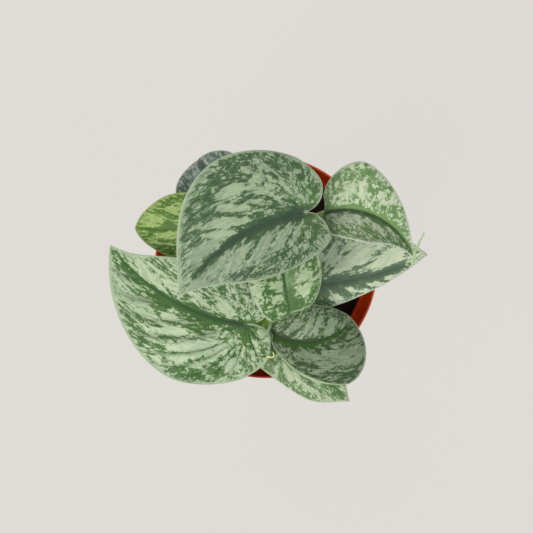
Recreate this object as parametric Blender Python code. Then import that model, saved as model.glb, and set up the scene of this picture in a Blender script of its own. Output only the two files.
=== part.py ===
"""Potted satin pothos: a 12 cm nursery pot, its soil, four leafy vines and nine leaves.

Blender 4.5 script, metres, +Z up. Every size below is in millimetres, and finished_object
turns it into metres. The origin is the centre of the pot's flat underside, +Y points to the
top of the photograph and +X to its right.

Names starting with north, south, east and west use +Y as north and +X as east.
"""

import math
from dataclasses import dataclass

import bmesh
import bpy
import numpy as np
from mathutils import Vector

MM = 0.001
MERGE = 0.01
FIT = 0.3
CREASE = 45.0

# Pot
RIM_RADIUS = 60.0
POT_HEIGHT = 105.0
WALL = 1.2
FOOT_OUTER = 41.0
FOOT_INNER = 36.5
FLOOR_RISE = 3.0
FLOOR_FLAT = 16.0
RAISED_INNER = 18.5
RAISED_OUTER = 34.0
FLOOR = 1.4
COLLAR_DEPTH = 13.0
LEDGE_RADIUS = 55.0
LEDGE_WIDTH = 0.9
COLLAR_STEP = 1.3
POT_SEGMENTS = 60
DRAIN_HOLES = 6
DRAIN_RADIUS = 3.6
DRAIN_CIRCLE = 26.0

# Soil
SOIL_LEVEL = 88.0
SOIL_MOUND = 1.5
SOIL_LUMP = 0.9
SOIL_RINGS = 7

# Vines and leaf stalks
VINE_RADIUS = 2.1
VINE_TOP_RADIUS = 1.7
VINE_DEPTH = 28.0
VINE_SIDES = 10
HOLE_SIDES = 16
HOLE_CLEARANCE = 0.4
STALK_FOOT_RADIUS = 1.5
STALK_NECK_RADIUS = 1.0
STALK_SIDES = 8
STALK_FORWARD = 1.4
STALK_GAP = 0.3

# Leaf blades
BLADE = 0.8
VEIN_SLANT = 0.55
ROUND = 0.5523
RIB_STATIONS = 12
VEIN_SPACING = 5.2
ACROSS = 4
WAVE_LENGTH = 21.0

# Drip tip of the upper east leaf
DRIP_RADIUS = 0.75
DRIP_SIDES = 8


@dataclass(frozen=True)
class HalfBlade:
    """One half of a leaf blade, on one side of its midrib. Angles are in degrees."""

    width: float
    widest_at: float
    lobe_back: float
    lobe_out: float
    rise: float
    curl: float
    fullness: float
    tip_angle: float
    shoulder: float = ROUND
    wave: float = 0.6


@dataclass(frozen=True)
class Leaf:
    """A leaf: where its stalk meets it, how its midrib runs, and its two halves."""

    name: str
    stalk_at: tuple
    heading: float
    bend: float
    pitch: float
    droop: float
    length: float
    left: HalfBlade
    right: HalfBlade
    colour: tuple
    tip_drop: float = 0.0


@dataclass(frozen=True)
class Vine:
    """A vine: its foot in the soil, the point its top leans to, and its leaves' stalks."""

    name: str
    foot: tuple
    top: tuple
    lean_from: float
    stalks: tuple


@dataclass(frozen=True)
class Stalk:
    """A leaf stalk: the leaf it carries, where it leaves the vine, and how it curves."""

    leaf: str
    starts_at: float
    sets_off: tuple
    arrives: float


SILVER_GREEN = (0.36, 0.47, 0.29, 1.0)
YOUNG_GREEN = (0.33, 0.45, 0.12, 1.0)
OLD_GREEN = (0.20, 0.29, 0.20, 1.0)
STALK_GREEN = (0.34, 0.45, 0.16, 1.0)
POT_RED = (0.46, 0.07, 0.015, 1.0)
SOIL_BROWN = (0.012, 0.008, 0.006, 1.0)

LEAVES = (
    Leaf(
        name="leaf_top",
        stalk_at=(20.2, 27.6, 182.0),
        heading=190.0,
        bend=48.0,
        pitch=4.0,
        droop=-22.0,
        length=81.0,
        left=HalfBlade(26.5, 0.27, 10.0, 13.5, 12.0, -30.0, 0.50, 26.0),
        right=HalfBlade(40.8, 0.34, 10.5, 12.0, 10.0, -34.0, 0.38, 31.0, shoulder=0.39),
        colour=SILVER_GREEN,
    ),
    Leaf(
        name="leaf_south_west",
        stalk_at=(-9.8, -29.7, 150.0),
        heading=173.0,
        bend=-46.0,
        pitch=2.0,
        droop=-8.0,
        length=84.5,
        left=HalfBlade(38.0, 0.31, 13.5, 15.0, 8.0, -26.0, 0.23, 45.0, shoulder=0.37, wave=1.0),
        right=HalfBlade(25.0, 0.30, 11.0, 12.0, 30.0, -20.0, 0.60, 26.0),
        colour=SILVER_GREEN,
    ),
    Leaf(
        name="leaf_east_upper",
        stalk_at=(29.1, 27.9, 168.0),
        heading=16.0,
        bend=-88.0,
        pitch=8.0,
        droop=-28.0,
        length=60.0,
        left=HalfBlade(25.6, 0.28, -2.0, 6.0, 12.0, -34.0, 0.14, 5.0, shoulder=0.35),
        right=HalfBlade(16.0, 0.36, 2.0, 9.0, 25.0, -20.0, 0.40, 20.0),
        colour=SILVER_GREEN,
    ),
    Leaf(
        name="leaf_centre_small",
        stalk_at=(12.9, -23.8, 160.0),
        heading=103.0,
        bend=-14.0,
        pitch=12.0,
        droop=0.0,
        length=50.0,
        left=HalfBlade(19.0, 0.38, 2.0, 10.0, 15.0, -25.0, 0.60, 36.0, shoulder=0.40),
        right=HalfBlade(19.5, 0.42, -1.0, 8.0, 15.0, -25.0, 0.60, 36.0, shoulder=0.45),
        colour=SILVER_GREEN,
    ),
    Leaf(
        name="leaf_east_lower",
        stalk_at=(27.3, -9.1, 134.0),
        heading=5.0,
        bend=20.0,
        pitch=0.0,
        droop=-14.0,
        length=61.3,
        left=HalfBlade(26.1, 0.35, 8.0, 12.0, 12.0, -24.0, 0.65, 58.0),
        right=HalfBlade(13.8, 0.06, 4.0, 9.0, 0.0, -30.0, 0.02, 14.0),
        colour=SILVER_GREEN,
    ),
    Leaf(
        name="leaf_south_upper",
        stalk_at=(2.1, -34.0, 146.0),
        heading=-34.0,
        bend=90.0,
        pitch=-2.0,
        droop=-20.0,
        length=52.0,
        left=HalfBlade(19.8, 0.53, 4.0, 10.0, 20.0, -30.0, 0.33, 88.0),
        right=HalfBlade(26.6, 0.63, -2.4, 3.0, 12.0, -30.0, 0.49, 52.0, shoulder=0.06),
        colour=SILVER_GREEN,
        tip_drop=-25.0,
    ),
    Leaf(
        name="leaf_south_lower",
        stalk_at=(6.4, -42.0, 124.0),
        heading=-29.0,
        bend=-18.0,
        pitch=0.0,
        droop=-12.0,
        length=49.0,
        left=HalfBlade(15.0, 0.40, 8.0, 10.0, 12.0, -24.0, 0.45, 26.0),
        right=HalfBlade(16.5, 0.32, 9.0, 12.0, 8.0, -30.0, 0.65, 44.0),
        colour=SILVER_GREEN,
    ),
    Leaf(
        name="leaf_west_young",
        stalk_at=(-20.8, 20.1, 146.0),
        heading=181.0,
        bend=-2.0,
        pitch=-4.0,
        droop=-16.0,
        length=54.0,
        left=HalfBlade(17.0, 0.38, 8.0, 10.0, 10.0, -30.0, 0.30, 36.0),
        right=HalfBlade(19.3, 0.40, 8.0, 10.0, 10.0, -30.0, 0.42, 45.0),
        colour=YOUNG_GREEN,
        tip_drop=-40.0,
    ),
    Leaf(
        name="leaf_north_old",
        stalk_at=(-8.4, 28.7, 136.0),
        heading=138.0,
        bend=-6.0,
        pitch=0.0,
        droop=-40.0,
        length=49.0,
        left=HalfBlade(23.0, 0.60, 2.0, 6.0, 10.0, -30.0, 0.65, 62.0, shoulder=0.25),
        right=HalfBlade(17.0, 0.50, 6.0, 10.0, 10.0, -30.0, 0.50, 46.0),
        colour=OLD_GREEN,
        tip_drop=-40.0,
    ),
)

VINES = (
    Vine(
        name="stem_north_east",
        foot=(21.0, 23.0),
        top=(22.0, 26.0, 150.0),
        lean_from=96.0,
        stalks=(
            Stalk("leaf_top", 0.97, (0.0, 0.0, 14.0), 12.0),
            Stalk("leaf_east_upper", 0.62, (3.0, 1.0, 12.0), 12.0),
        ),
    ),
    Vine(
        name="stem_north_west",
        foot=(-9.0, 16.0),
        top=(-10.0, 17.0, 118.0),
        lean_from=96.0,
        stalks=(
            Stalk("leaf_west_young", 0.97, (-1.0, 0.0, 12.0), 9.0),
            Stalk("leaf_north_old", 0.55, (1.0, 4.0, 9.0), 9.0),
        ),
    ),
    Vine(
        name="stem_middle",
        foot=(7.0, -6.0),
        top=(9.0, -9.0, 128.0),
        lean_from=96.0,
        stalks=(
            Stalk("leaf_centre_small", 0.97, (0.0, -1.0, 12.0), 9.0),
            Stalk("leaf_east_lower", 0.50, (5.0, 1.0, 9.0), 10.0),
        ),
    ),
    Vine(
        name="stem_south",
        foot=(-5.0, -31.0),
        top=(-4.0, -32.0, 124.0),
        lean_from=96.0,
        stalks=(
            Stalk("leaf_south_west", 0.97, (2.0, 0.0, 14.0), 8.0),
            Stalk("leaf_south_upper", 0.70, (1.0, -1.0, 10.0), 9.0),
            Stalk("leaf_south_lower", 0.25, (2.0, -2.0, 8.0), 8.0),
        ),
    ),
)


def bezier(start, handle_a, handle_b, end, steps):
    """Points of a cubic curve, both ends included."""
    share = np.linspace(0.0, 1.0, steps + 1)[:, None]
    rest = 1.0 - share
    return (
        rest**3 * np.array(start)
        + 3 * rest**2 * share * np.array(handle_a)
        + 3 * rest * share**2 * np.array(handle_b)
        + share**3 * np.array(end)
    )


def outline(half, length, steps=40):
    """The margin of a half blade as (along, out) points, from the stalk round to the tip."""
    widest = half.widest_at * length
    lobe = (-half.lobe_back, half.lobe_out)
    rise = half.shoulder * (half.width - half.lobe_out)
    run = half.shoulder * (widest + half.lobe_back)
    reach = 0.45 * (length - widest)
    angle = math.radians(half.tip_angle)
    to_lobe = bezier(
        (0.0, 0.0),
        (-0.55 * half.lobe_back, 0.06 * half.lobe_out),
        (-half.lobe_back, half.lobe_out * (1.0 - ROUND)),
        lobe,
        steps,
    )
    to_widest = bezier(
        lobe,
        (lobe[0], lobe[1] + rise),
        (widest - run, half.width),
        (widest, half.width),
        steps,
    )
    to_tip = bezier(
        (widest, half.width),
        (widest + half.fullness * (length - widest), half.width),
        (length - reach * math.cos(angle), reach * math.sin(angle)),
        (length, 0.0),
        steps,
    )
    return np.concatenate([to_lobe[:-1], to_widest[:-1], to_tip])


def vein_rows(half, length):
    """Rows of (along, out) points, each from the midrib along a side vein to the margin.

    The first rows fan out from the stalk over the lobe. The others start at the midrib's
    stations, which both halves share, so that the two halves meet point for point.
    """
    edge = outline(half, length)
    source = edge[:, 0] - VEIN_SLANT * edge[:, 1]
    steps = np.linalg.norm(np.diff(edge, axis=0), axis=1)
    travelled = np.concatenate([[0.0], np.cumsum(steps)])
    turn = int(np.flatnonzero(source <= 0.0)[-1])
    fan = round(travelled[turn] / VEIN_SPACING)
    rows = []
    for distance in np.linspace(0.0, travelled[turn], fan + 1)[1:]:
        end = [np.interp(distance, travelled, edge[:, axis]) for axis in range(2)]
        rows.append((0.0, np.array(end)))
    ahead = np.maximum.accumulate(source[turn:])
    for station in rib_stations(length)[1:-1]:
        along = np.interp(station, ahead, edge[turn:, 0])
        out = np.interp(station, ahead, edge[turn:, 1])
        rows.append((station, np.array((along, out))))
    share = np.linspace(0.0, 1.0, ACROSS + 1)[1:, None]
    grid = []
    for start, end in rows:
        foot = np.array((start, 0.0))
        bow = foot + np.array((0.28 * (end[0] - start), 0.58 * end[1]))
        grid.append((1 - share) ** 2 * foot + 2 * share * (1 - share) * bow + share**2 * end)
    return np.array(grid)


def rib_stations(length):
    """Distances along the midrib, closer together towards the stalk."""
    share = np.linspace(0.0, 1.0, RIB_STATIONS + 1)
    return length * (0.5 * share + 0.5 * share**2)


def ease(share):
    """A smooth step from 0 to 1."""
    share = np.clip(share, 0.0, 1.0)
    return share * share * (3.0 - 2.0 * share)


def midrib(leaf, steps=200):
    """The midrib as distances, points relative to the stalk, and its three directions."""
    along = np.linspace(0.0, leaf.length, steps + 1)
    share = along / leaf.length
    heading = np.radians(leaf.heading + leaf.bend * share)
    drop = leaf.tip_drop * ease((share - 0.6) / 0.4)
    pitch = np.radians(leaf.pitch + leaf.droop * share + drop)
    level = np.stack([np.cos(heading), np.sin(heading), 0 * heading], 1)
    up = np.array((0.0, 0.0, 1.0))
    forward = np.cos(pitch)[:, None] * level + np.sin(pitch)[:, None] * up
    normal = np.cos(pitch)[:, None] * up - np.sin(pitch)[:, None] * level
    leftward = np.cross(normal, forward)
    points = np.zeros_like(forward)
    points[1:] = np.cumsum((forward[1:] + forward[:-1]) / 2 * (leaf.length / steps), axis=0)
    return along, points, forward, normal, leftward


def placed(leaf, half, side, flat):
    """Bend flat (along, out) points of a half blade to where they lie in space."""
    along, points, forward, normal, leftward = midrib(leaf)
    where = np.clip(flat[..., 0], 0.0, leaf.length)

    def at(values):
        return np.stack([np.interp(where, along, values[:, axis]) for axis in range(3)], -1)

    turn = math.radians(half.curl) / half.width
    start = math.radians(half.rise)
    out = flat[..., 1]
    sideways = (np.sin(start + turn * out) - math.sin(start)) / turn
    lift = (math.cos(start) - np.cos(start + turn * out)) / turn
    ripple = np.sin(2 * math.pi * flat[..., 0] / WAVE_LENGTH + side)
    lift = lift + half.wave * (out / half.width) ** 2 * ripple
    back = np.minimum(flat[..., 0], 0.0)[..., None]
    return (
        at(points)
        + back * at(forward)
        + side * sideways[..., None] * at(leftward)
        + lift[..., None] * at(normal)
    )


def blade_sheet(leaf):
    """The blade's middle surface: points, triangles and the loop of points round its margin."""
    rib = np.stack([rib_stations(leaf.length), np.zeros(RIB_STATIONS + 1)], 1)
    points = list(placed(leaf, leaf.left, 1, rib))
    triangles = []
    margins = []
    for side, half in ((1, leaf.left), (-1, leaf.right)):
        grid = vein_rows(half, leaf.length)
        lobe_rows = len(grid) - (RIB_STATIONS - 1)
        spots = placed(leaf, half, side, grid)
        rows = [[0] * (ACROSS + 1)]
        for index, row in enumerate(spots):
            foot = max(0, index - lobe_rows + 1)
            rows.append([foot] + list(range(len(points), len(points) + ACROSS)))
            points.extend(row)
        rows.append([RIB_STATIONS] * (ACROSS + 1))
        for lower, upper in zip(rows, rows[1:]):
            for step in range(ACROSS):
                near, far = lower[step], lower[step + 1]
                next_near, next_far = upper[step], upper[step + 1]
                for corners in ((near, next_far, far), (near, next_near, next_far)):
                    if len(set(corners)) == 3:
                        triangles.append(corners if side > 0 else corners[::-1])
        margins.append([row[-1] for row in rows])
    loop = margins[1] + margins[0][-2:0:-1]
    return np.array(points), triangles, loop


def blade(leaf):
    """A leaf blade as a thin closed solid, split into triangles alike on both faces."""
    points, triangles, loop = blade_sheet(leaf)
    corners = points[np.array(triangles)]
    facing = np.cross(corners[:, 1] - corners[:, 0], corners[:, 2] - corners[:, 0])
    normals = np.zeros_like(points)
    for corner in range(3):
        np.add.at(normals, np.array(triangles)[:, corner], facing)
    normals /= np.linalg.norm(normals, axis=1)[:, None]
    count = len(points)
    mesh = bmesh.new()
    for spot in np.concatenate([points + normals * BLADE / 2, points - normals * BLADE / 2]):
        mesh.verts.new(spot)
    mesh.verts.ensure_lookup_table()
    faces = list(triangles)
    faces += [tuple(count + corner for corner in face[::-1]) for face in triangles]
    for here, there in zip(loop, loop[1:] + loop[:1]):
        faces.append((here, here + count, there + count))
        faces.append((here, there + count, there))
    for face in faces:
        mesh.faces.new([mesh.verts[corner] for corner in face])
    return mesh


def tube(path, radii, sides):
    """A round bar with closed ends along a path of points, with a radius at each."""
    path = [Vector(point) for point in path]
    mesh = bmesh.new()
    rings = []
    across = None
    for index, point in enumerate(path):
        ahead = path[min(index + 1, len(path) - 1)]
        behind = path[max(index - 1, 0)]
        forward = (ahead - behind).normalized()
        if across is None:
            across = forward.orthogonal()
        across = (across - forward * across.dot(forward)).normalized()
        other = forward.cross(across)
        ring = []
        for side in range(sides):
            turn = 2 * math.pi * side / sides
            offset = across * math.cos(turn) + other * math.sin(turn)
            ring.append(mesh.verts.new(point + offset * radii[index]))
        rings.append(ring)
    for lower, upper in zip(rings, rings[1:]):
        for side in range(sides):
            after = (side + 1) % sides
            mesh.faces.new((lower[side], lower[after], upper[after], upper[side]))
    mesh.faces.new(rings[0][::-1])
    mesh.faces.new(rings[-1])
    return mesh


def spun(profile, segments):
    """Spin a half section of (radius, height) points, which starts and ends on the axis."""
    mesh = bmesh.new()
    points = [mesh.verts.new((radius, 0.0, height)) for radius, height in profile]
    edges = [mesh.edges.new(pair) for pair in zip(points, points[1:])]
    bmesh.ops.spin(
        mesh,
        geom=points + edges,
        cent=(0.0, 0.0, 0.0),
        axis=(0.0, 0.0, 1.0),
        angle=2 * math.pi,
        steps=segments,
        use_merge=True,
    )
    bmesh.ops.remove_doubles(mesh, verts=mesh.verts, dist=MERGE)
    bmesh.ops.recalc_face_normals(mesh, faces=mesh.faces)
    return mesh


def material(name, colour, roughness):
    """A plain Principled material."""
    result = bpy.data.materials.new(name)
    result.use_nodes = True
    shader = result.node_tree.nodes["Principled BSDF"]
    shader.inputs["Base Color"].default_value = colour
    shader.inputs["Roughness"].default_value = roughness
    return result


def finished_object(name, mesh, slot, parent, origin=(0.0, 0.0, 0.0)):
    """Turn a mesh drawn in millimetres into an object in metres, placed at its origin."""
    bmesh.ops.scale(mesh, vec=(MM, MM, MM), verts=mesh.verts)
    for edge in mesh.edges:
        edge.smooth = edge.calc_face_angle(0.0) < math.radians(CREASE)
    data = bpy.data.meshes.new(name)
    mesh.to_mesh(data)
    mesh.free()
    for face in data.polygons:
        face.use_smooth = True
    data.materials.append(slot)
    result = bpy.data.objects.new(name, data)
    result.location = Vector(origin) * MM
    result.parent = parent
    bpy.context.collection.objects.link(result)
    return result


def joined_by_boolean(target, other, operation):
    """Cut one object out of another, or unite them, and hide the one that is used up."""
    change = target.modifiers.new(other.name, "BOOLEAN")
    change.operation = operation
    change.object = other
    change.solver = "EXACT"
    other.hide_render = True
    other.display_type = "WIRE"


def wall_radius(height):
    """The pot's inner radius at a height below its ledge."""
    ledge = POT_HEIGHT - COLLAR_DEPTH
    share = (height - FLOOR) / (ledge - FLOOR)
    return FOOT_OUTER + share * (LEDGE_RADIUS - LEDGE_WIDTH - FOOT_OUTER)


def add_pot(parent):
    """The nursery pot: one thin moulding with a flared collar, a ledge and drain holes."""
    ledge = POT_HEIGHT - COLLAR_DEPTH
    body_top = wall_radius(ledge) + WALL
    lip = RIM_RADIUS - WALL
    profile = (
        (0.0, 0.0),
        (FLOOR_FLAT, 0.0),
        (RAISED_INNER, FLOOR_RISE),
        (RAISED_OUTER, FLOOR_RISE),
        (FOOT_INNER, 0.0),
        (FOOT_OUTER, 0.0),
        (FOOT_OUTER + WALL, WALL),
        (body_top, ledge - 2 * WALL),
        (body_top + COLLAR_STEP, ledge - WALL),
        (RIM_RADIUS, POT_HEIGHT - WALL),
        (RIM_RADIUS - 0.25 * WALL, POT_HEIGHT - 0.3 * WALL),
        (RIM_RADIUS - 0.5 * WALL, POT_HEIGHT),
        (RIM_RADIUS - 0.8 * WALL, POT_HEIGHT - 0.2 * WALL),
        (lip, POT_HEIGHT - 0.7 * WALL),
        (LEDGE_RADIUS, ledge + 0.2),
        (LEDGE_RADIUS - LEDGE_WIDTH, ledge),
        (wall_radius(2 * FLOOR), 2 * FLOOR),
        (FOOT_OUTER - 0.8, FLOOR),
        (FOOT_INNER + 0.6, FLOOR),
        (RAISED_OUTER + 0.6, FLOOR_RISE + FLOOR),
        (RAISED_INNER - 0.6, FLOOR_RISE + FLOOR),
        (FLOOR_FLAT - 0.6, FLOOR),
        (0.0, FLOOR),
    )
    slot = material("terracotta_plastic", POT_RED, 0.45)
    pot = finished_object("nursery_pot", spun(profile, POT_SEGMENTS), slot, parent)
    for index in range(DRAIN_HOLES):
        turn = 2 * math.pi * index / DRAIN_HOLES
        spot = (DRAIN_CIRCLE * math.cos(turn), DRAIN_CIRCLE * math.sin(turn))
        cutter = post(spot, -5.0, FLOOR_RISE + 2 * FLOOR, DRAIN_RADIUS)
        hole = finished_object(f"drain_cutter_{index + 1}", cutter, slot, parent)
        joined_by_boolean(pot, hole, "DIFFERENCE")


def post(spot, bottom, top, radius):
    """An upright round cutter."""
    path = ((spot[0], spot[1], bottom), (spot[0], spot[1], top))
    return tube(path, (radius, radius), HOLE_SIDES)


def soil_surface(x, y):
    """How far the soil's top lies above its level at the wall."""
    reach = wall_radius(SOIL_LEVEL)
    inward = max(0.0, 1.0 - (x * x + y * y) / reach**2)
    lumps = math.sin(0.31 * x + 1.3) * math.cos(0.27 * y + 0.4)
    lumps += 0.6 * math.sin(0.83 * x - 0.52 * y) * math.sin(0.71 * y + 0.2 * x)
    return SOIL_MOUND * inward + SOIL_LUMP * lumps * min(1.0, 3.0 * inward)


def add_soil(parent):
    """The potting soil, with a plain hole for each vine."""
    low = FLOOR + FIT
    high = low + FLOOR_RISE
    outer = wall_radius(SOIL_LEVEL) - FIT
    profile = [
        (0.0, low),
        (FLOOR_FLAT - 0.8, low),
        (RAISED_INNER - 0.8, high),
        (RAISED_OUTER + 0.8, high),
        (FOOT_INNER + 0.8, low),
        (FOOT_OUTER - 1.2, low),
        (wall_radius(2 * FLOOR) - FIT, 2 * FLOOR),
    ]
    profile += [(outer * (1 - ring / SOIL_RINGS), SOIL_LEVEL) for ring in range(SOIL_RINGS + 1)]
    mesh = spun(profile, POT_SEGMENTS)
    for vertex in mesh.verts:
        if vertex.co.z > SOIL_LEVEL - MERGE:
            vertex.co.z += soil_surface(vertex.co.x, vertex.co.y)
    slot = material("peat_soil", SOIL_BROWN, 0.95)
    soil = finished_object("potting_soil", mesh, slot, parent)
    for vine in VINES:
        bottom = SOIL_LEVEL - VINE_DEPTH - FIT
        cutter = post(vine.foot, bottom, POT_HEIGHT, VINE_RADIUS + HOLE_CLEARANCE)
        hole = finished_object(f"hole_for_{vine.name}", cutter, slot, parent)
        joined_by_boolean(soil, hole, "DIFFERENCE")


def vine_path(vine):
    """The vine's centre line: upright in the soil, then leaning over to its top."""
    foot = np.array((*vine.foot, vine.lean_from))
    top = np.array(vine.top)
    rise = (top[2] - foot[2]) / 3
    handle_a = foot + (0.0, 0.0, rise)
    handle_b = top - (0.0, 0.0, rise)
    return bezier(foot, handle_a, handle_b, top, 10)


def stalk_path(leaf, start, stalk):
    """A leaf stalk's centre line, ending square under the blade's midrib."""
    forward, normal = (values[0] for values in midrib(leaf)[2:4])
    end = np.array(leaf.stalk_at) + STALK_FORWARD * forward - (BLADE / 2 + STALK_GAP) * normal
    return bezier(start, start + stalk.sets_off, end - stalk.arrives * normal, end, 12)


def add_vine(vine, parent):
    """A vine and its leaf stalks, united in one solid."""
    slot = material(f"{vine.name}_green", STALK_GREEN, 0.5)
    above = vine_path(vine)
    root = (*vine.foot, SOIL_LEVEL - VINE_DEPTH)
    path = [root, (*vine.foot, SOIL_LEVEL - VINE_DEPTH / 2), *above]
    radii = [VINE_RADIUS, VINE_RADIUS, *np.linspace(VINE_RADIUS, VINE_TOP_RADIUS, len(above))]
    stem = finished_object(vine.name, tube(path, radii, VINE_SIDES), slot, parent)
    carried = {leaf.name: leaf for leaf in LEAVES}
    for stalk in vine.stalks:
        spot = stalk.starts_at * (len(above) - 1)
        start = np.array([np.interp(spot, range(len(above)), above[:, axis]) for axis in range(3)])
        route = stalk_path(carried[stalk.leaf], start, stalk)
        taper = np.linspace(STALK_FOOT_RADIUS, STALK_NECK_RADIUS, len(route))
        mesh = tube(route, taper, STALK_SIDES)
        part = finished_object(f"stalk_of_{stalk.leaf}", mesh, slot, parent)
        joined_by_boolean(stem, part, "UNION")


def add_drip_tip(leaf_object, slot, parent):
    """The slim pointed tip of the upper east leaf, which turns up beside the blade's end."""
    path = bezier(
        (74.6, 8.2, 163.6),
        (76.0, 5.4, 162.4),
        (77.0, 8.0, 162.8),
        (80.6, 16.9, 166.4),
        10,
    )
    radii = np.linspace(DRIP_RADIUS, 0.3 * DRIP_RADIUS, len(path))
    drip = finished_object("drip_tip", tube(path, radii, DRIP_SIDES), slot, parent)
    joined_by_boolean(leaf_object, drip, "UNION")


def add_leaf(leaf, parent):
    """A leaf blade, placed with its origin where its stalk meets it."""
    slot = material(f"{leaf.name}_green", leaf.colour, 0.4)
    leaf_object = finished_object(leaf.name, blade(leaf), slot, parent, leaf.stalk_at)
    if leaf.name == "leaf_east_upper":
        add_drip_tip(leaf_object, slot, parent)


def clear_scene():
    """Remove whatever the scene holds."""
    for item in list(bpy.data.objects):
        bpy.data.objects.remove(item, do_unlink=True)


def main():
    """Build every piece of the plant under one empty."""
    clear_scene()
    plant = bpy.data.objects.new("potted_pothos", None)
    bpy.context.collection.objects.link(plant)
    add_pot(plant)
    add_soil(plant)
    for vine in VINES:
        add_vine(vine, plant)
    for leaf in LEAVES:
        add_leaf(leaf, plant)


main()
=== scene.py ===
"""The finished look of the potted satin pothos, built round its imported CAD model.

The plant is seen straight from above: a 12 cm pot of orange-red moulded plastic, dark
soil, four short vines and nine heart-shaped leaves with silver patches on green. Sizes
are in millimetres and angles in degrees, and MM turns a size into metres. North is +Y,
the top of the picture, and east is +X.
"""

import logging
import math
from dataclasses import dataclass
from enum import Enum

import bpy
import numpy as np
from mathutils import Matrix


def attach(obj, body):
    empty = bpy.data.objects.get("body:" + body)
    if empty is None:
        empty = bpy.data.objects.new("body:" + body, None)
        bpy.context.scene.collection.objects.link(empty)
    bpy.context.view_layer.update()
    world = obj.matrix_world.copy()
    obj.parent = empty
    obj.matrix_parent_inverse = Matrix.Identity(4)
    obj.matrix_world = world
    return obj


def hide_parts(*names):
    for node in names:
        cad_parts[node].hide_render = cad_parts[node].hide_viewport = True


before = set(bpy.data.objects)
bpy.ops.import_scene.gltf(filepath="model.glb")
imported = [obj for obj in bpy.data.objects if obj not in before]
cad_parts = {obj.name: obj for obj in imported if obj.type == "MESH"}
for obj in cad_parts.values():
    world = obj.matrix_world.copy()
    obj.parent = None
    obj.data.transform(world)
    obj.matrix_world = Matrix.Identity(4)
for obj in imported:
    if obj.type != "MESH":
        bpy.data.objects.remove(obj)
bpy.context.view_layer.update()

LOG = logging.getLogger("pothos")
MM = 0.001
ROUND = 0.5523
WELD = 0.01 * MM

Colour = tuple[int, int, int]
Point = tuple[float, float, float]
Spot = tuple[float, float, float, float, float]


class Side(Enum):
    """Which half of a leaf blade, seen from the stalk towards the tip."""

    LEFT = 1
    RIGHT = -1


def linear(colour: Colour, gain: float = 1.0) -> tuple[float, float, float, float]:
    """Turn a screen colour of 0 to 255 into linear values, times a gain, with a full alpha."""
    values = []
    for channel in colour:
        share = channel / 255
        low = share <= 0.04045
        values.append(gain * (share / 12.92 if low else ((share + 0.055) / 1.055) ** 2.4))
    return (*values, 1.0)


def ease(share: np.ndarray) -> np.ndarray:
    """A smooth step from 0 to 1."""
    share = np.clip(share, 0.0, 1.0)
    return share * share * (3.0 - 2.0 * share)


def bell(off: np.ndarray, width: float | np.ndarray) -> np.ndarray:
    """A rounded hump: 1 where off is 0, and fading out over the width."""
    return np.exp(-((off / width) ** 2))


def bezier(start: Point, leave: Point, arrive: Point, end: Point, steps: int) -> np.ndarray:
    """The steps + 1 points of a cubic curve from its ends and their two handles."""
    share = np.linspace(0.0, 1.0, steps + 1)[:, None]
    rest = 1.0 - share
    return (
        rest**3 * np.array(start)
        + 3 * rest**2 * share * np.array(leave)
        + 3 * rest * share**2 * np.array(arrive)
        + share**3 * np.array(end)
    )


class Value:
    """An output of a node, on which plain arithmetic adds Math nodes."""

    def __init__(self, graph: "Graph", socket: bpy.types.NodeSocket) -> None:
        """Keep the node tree and the output."""
        self.graph = graph
        self.socket = socket

    def __add__(self, other: object) -> "Value":
        """The sum with another value or a number."""
        return self.graph.math("ADD", self, other)

    def __sub__(self, other: object) -> "Value":
        """This value less another value or a number."""
        return self.graph.math("SUBTRACT", self, other)

    def __rsub__(self, other: object) -> "Value":
        """A number less this value."""
        return self.graph.math("SUBTRACT", other, self)

    def __mul__(self, other: object) -> "Value":
        """The product with another value or a number."""
        return self.graph.math("MULTIPLY", self, other)

    __radd__ = __add__
    __rmul__ = __mul__

    def spread(self, gain: float) -> "Value":
        """A noise value centred on 0 and multiplied."""
        return (self - 0.5) * gain

    def step(self, low: float, high: float) -> "Value":
        """A smooth step of the value, from 0 at low to 1 at high."""
        values = {"Value": self, "From Min": low, "From Max": high}
        return self.graph.add("ShaderNodeMapRange", values, "Result", interpolation_type="SMOOTHSTEP")


class Graph:
    """A node tree that is filled one node at a time."""

    def __init__(self, tree: bpy.types.NodeTree) -> None:
        """Keep the tree."""
        self.tree = tree

    def node(self, kind: str, values: dict | None = None, **settings: object) -> bpy.types.Node:
        """Add a node and fill in its inputs.

        Args:
            kind: The node's type.
            values: Node outputs or plain values by input identifier or name.
            settings: The node's own settings.

        Returns:
            The new node.
        """
        node = self.tree.nodes.new(kind)
        for name, setting in settings.items():
            setattr(node, name, setting)
        for key, value in (values or {}).items():
            self.feed(self.found(node.inputs, key), value)
        return node

    def add(self, kind: str, values: dict | None = None, output: str | int = 0,
            **settings: object) -> Value:
        """Add a node and return the output with this identifier, name or place."""
        return Value(self, self.found(self.node(kind, values, **settings).outputs, output))

    def feed(self, socket: bpy.types.NodeSocket, value: object) -> None:
        """Lead a node output into an input, or set the input to a plain value."""
        if isinstance(value, Value):
            self.tree.links.new(value.socket, socket)
        else:
            socket.default_value = value

    @staticmethod
    def found(sockets: bpy.types.bpy_prop_collection, key: str | int) -> bpy.types.NodeSocket:
        """Find a socket by its identifier, or else by its name or place."""
        for item in sockets:
            if item.identifier == key:
                return item
        return sockets[key]

    def math(self, operation: str, *terms: object) -> Value:
        """The result of a Math node on up to three values or numbers."""
        return self.add("ShaderNodeMath", dict(enumerate(terms)), operation=operation)

    def vector(self, operation: str, *terms: object) -> Value:
        """The result of a Vector Math node on values or triples."""
        values = dict(zip((0, "Scale") if operation == "SCALE" else (0, 1), terms))
        return self.add("ShaderNodeVectorMath", values, operation=operation)


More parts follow.
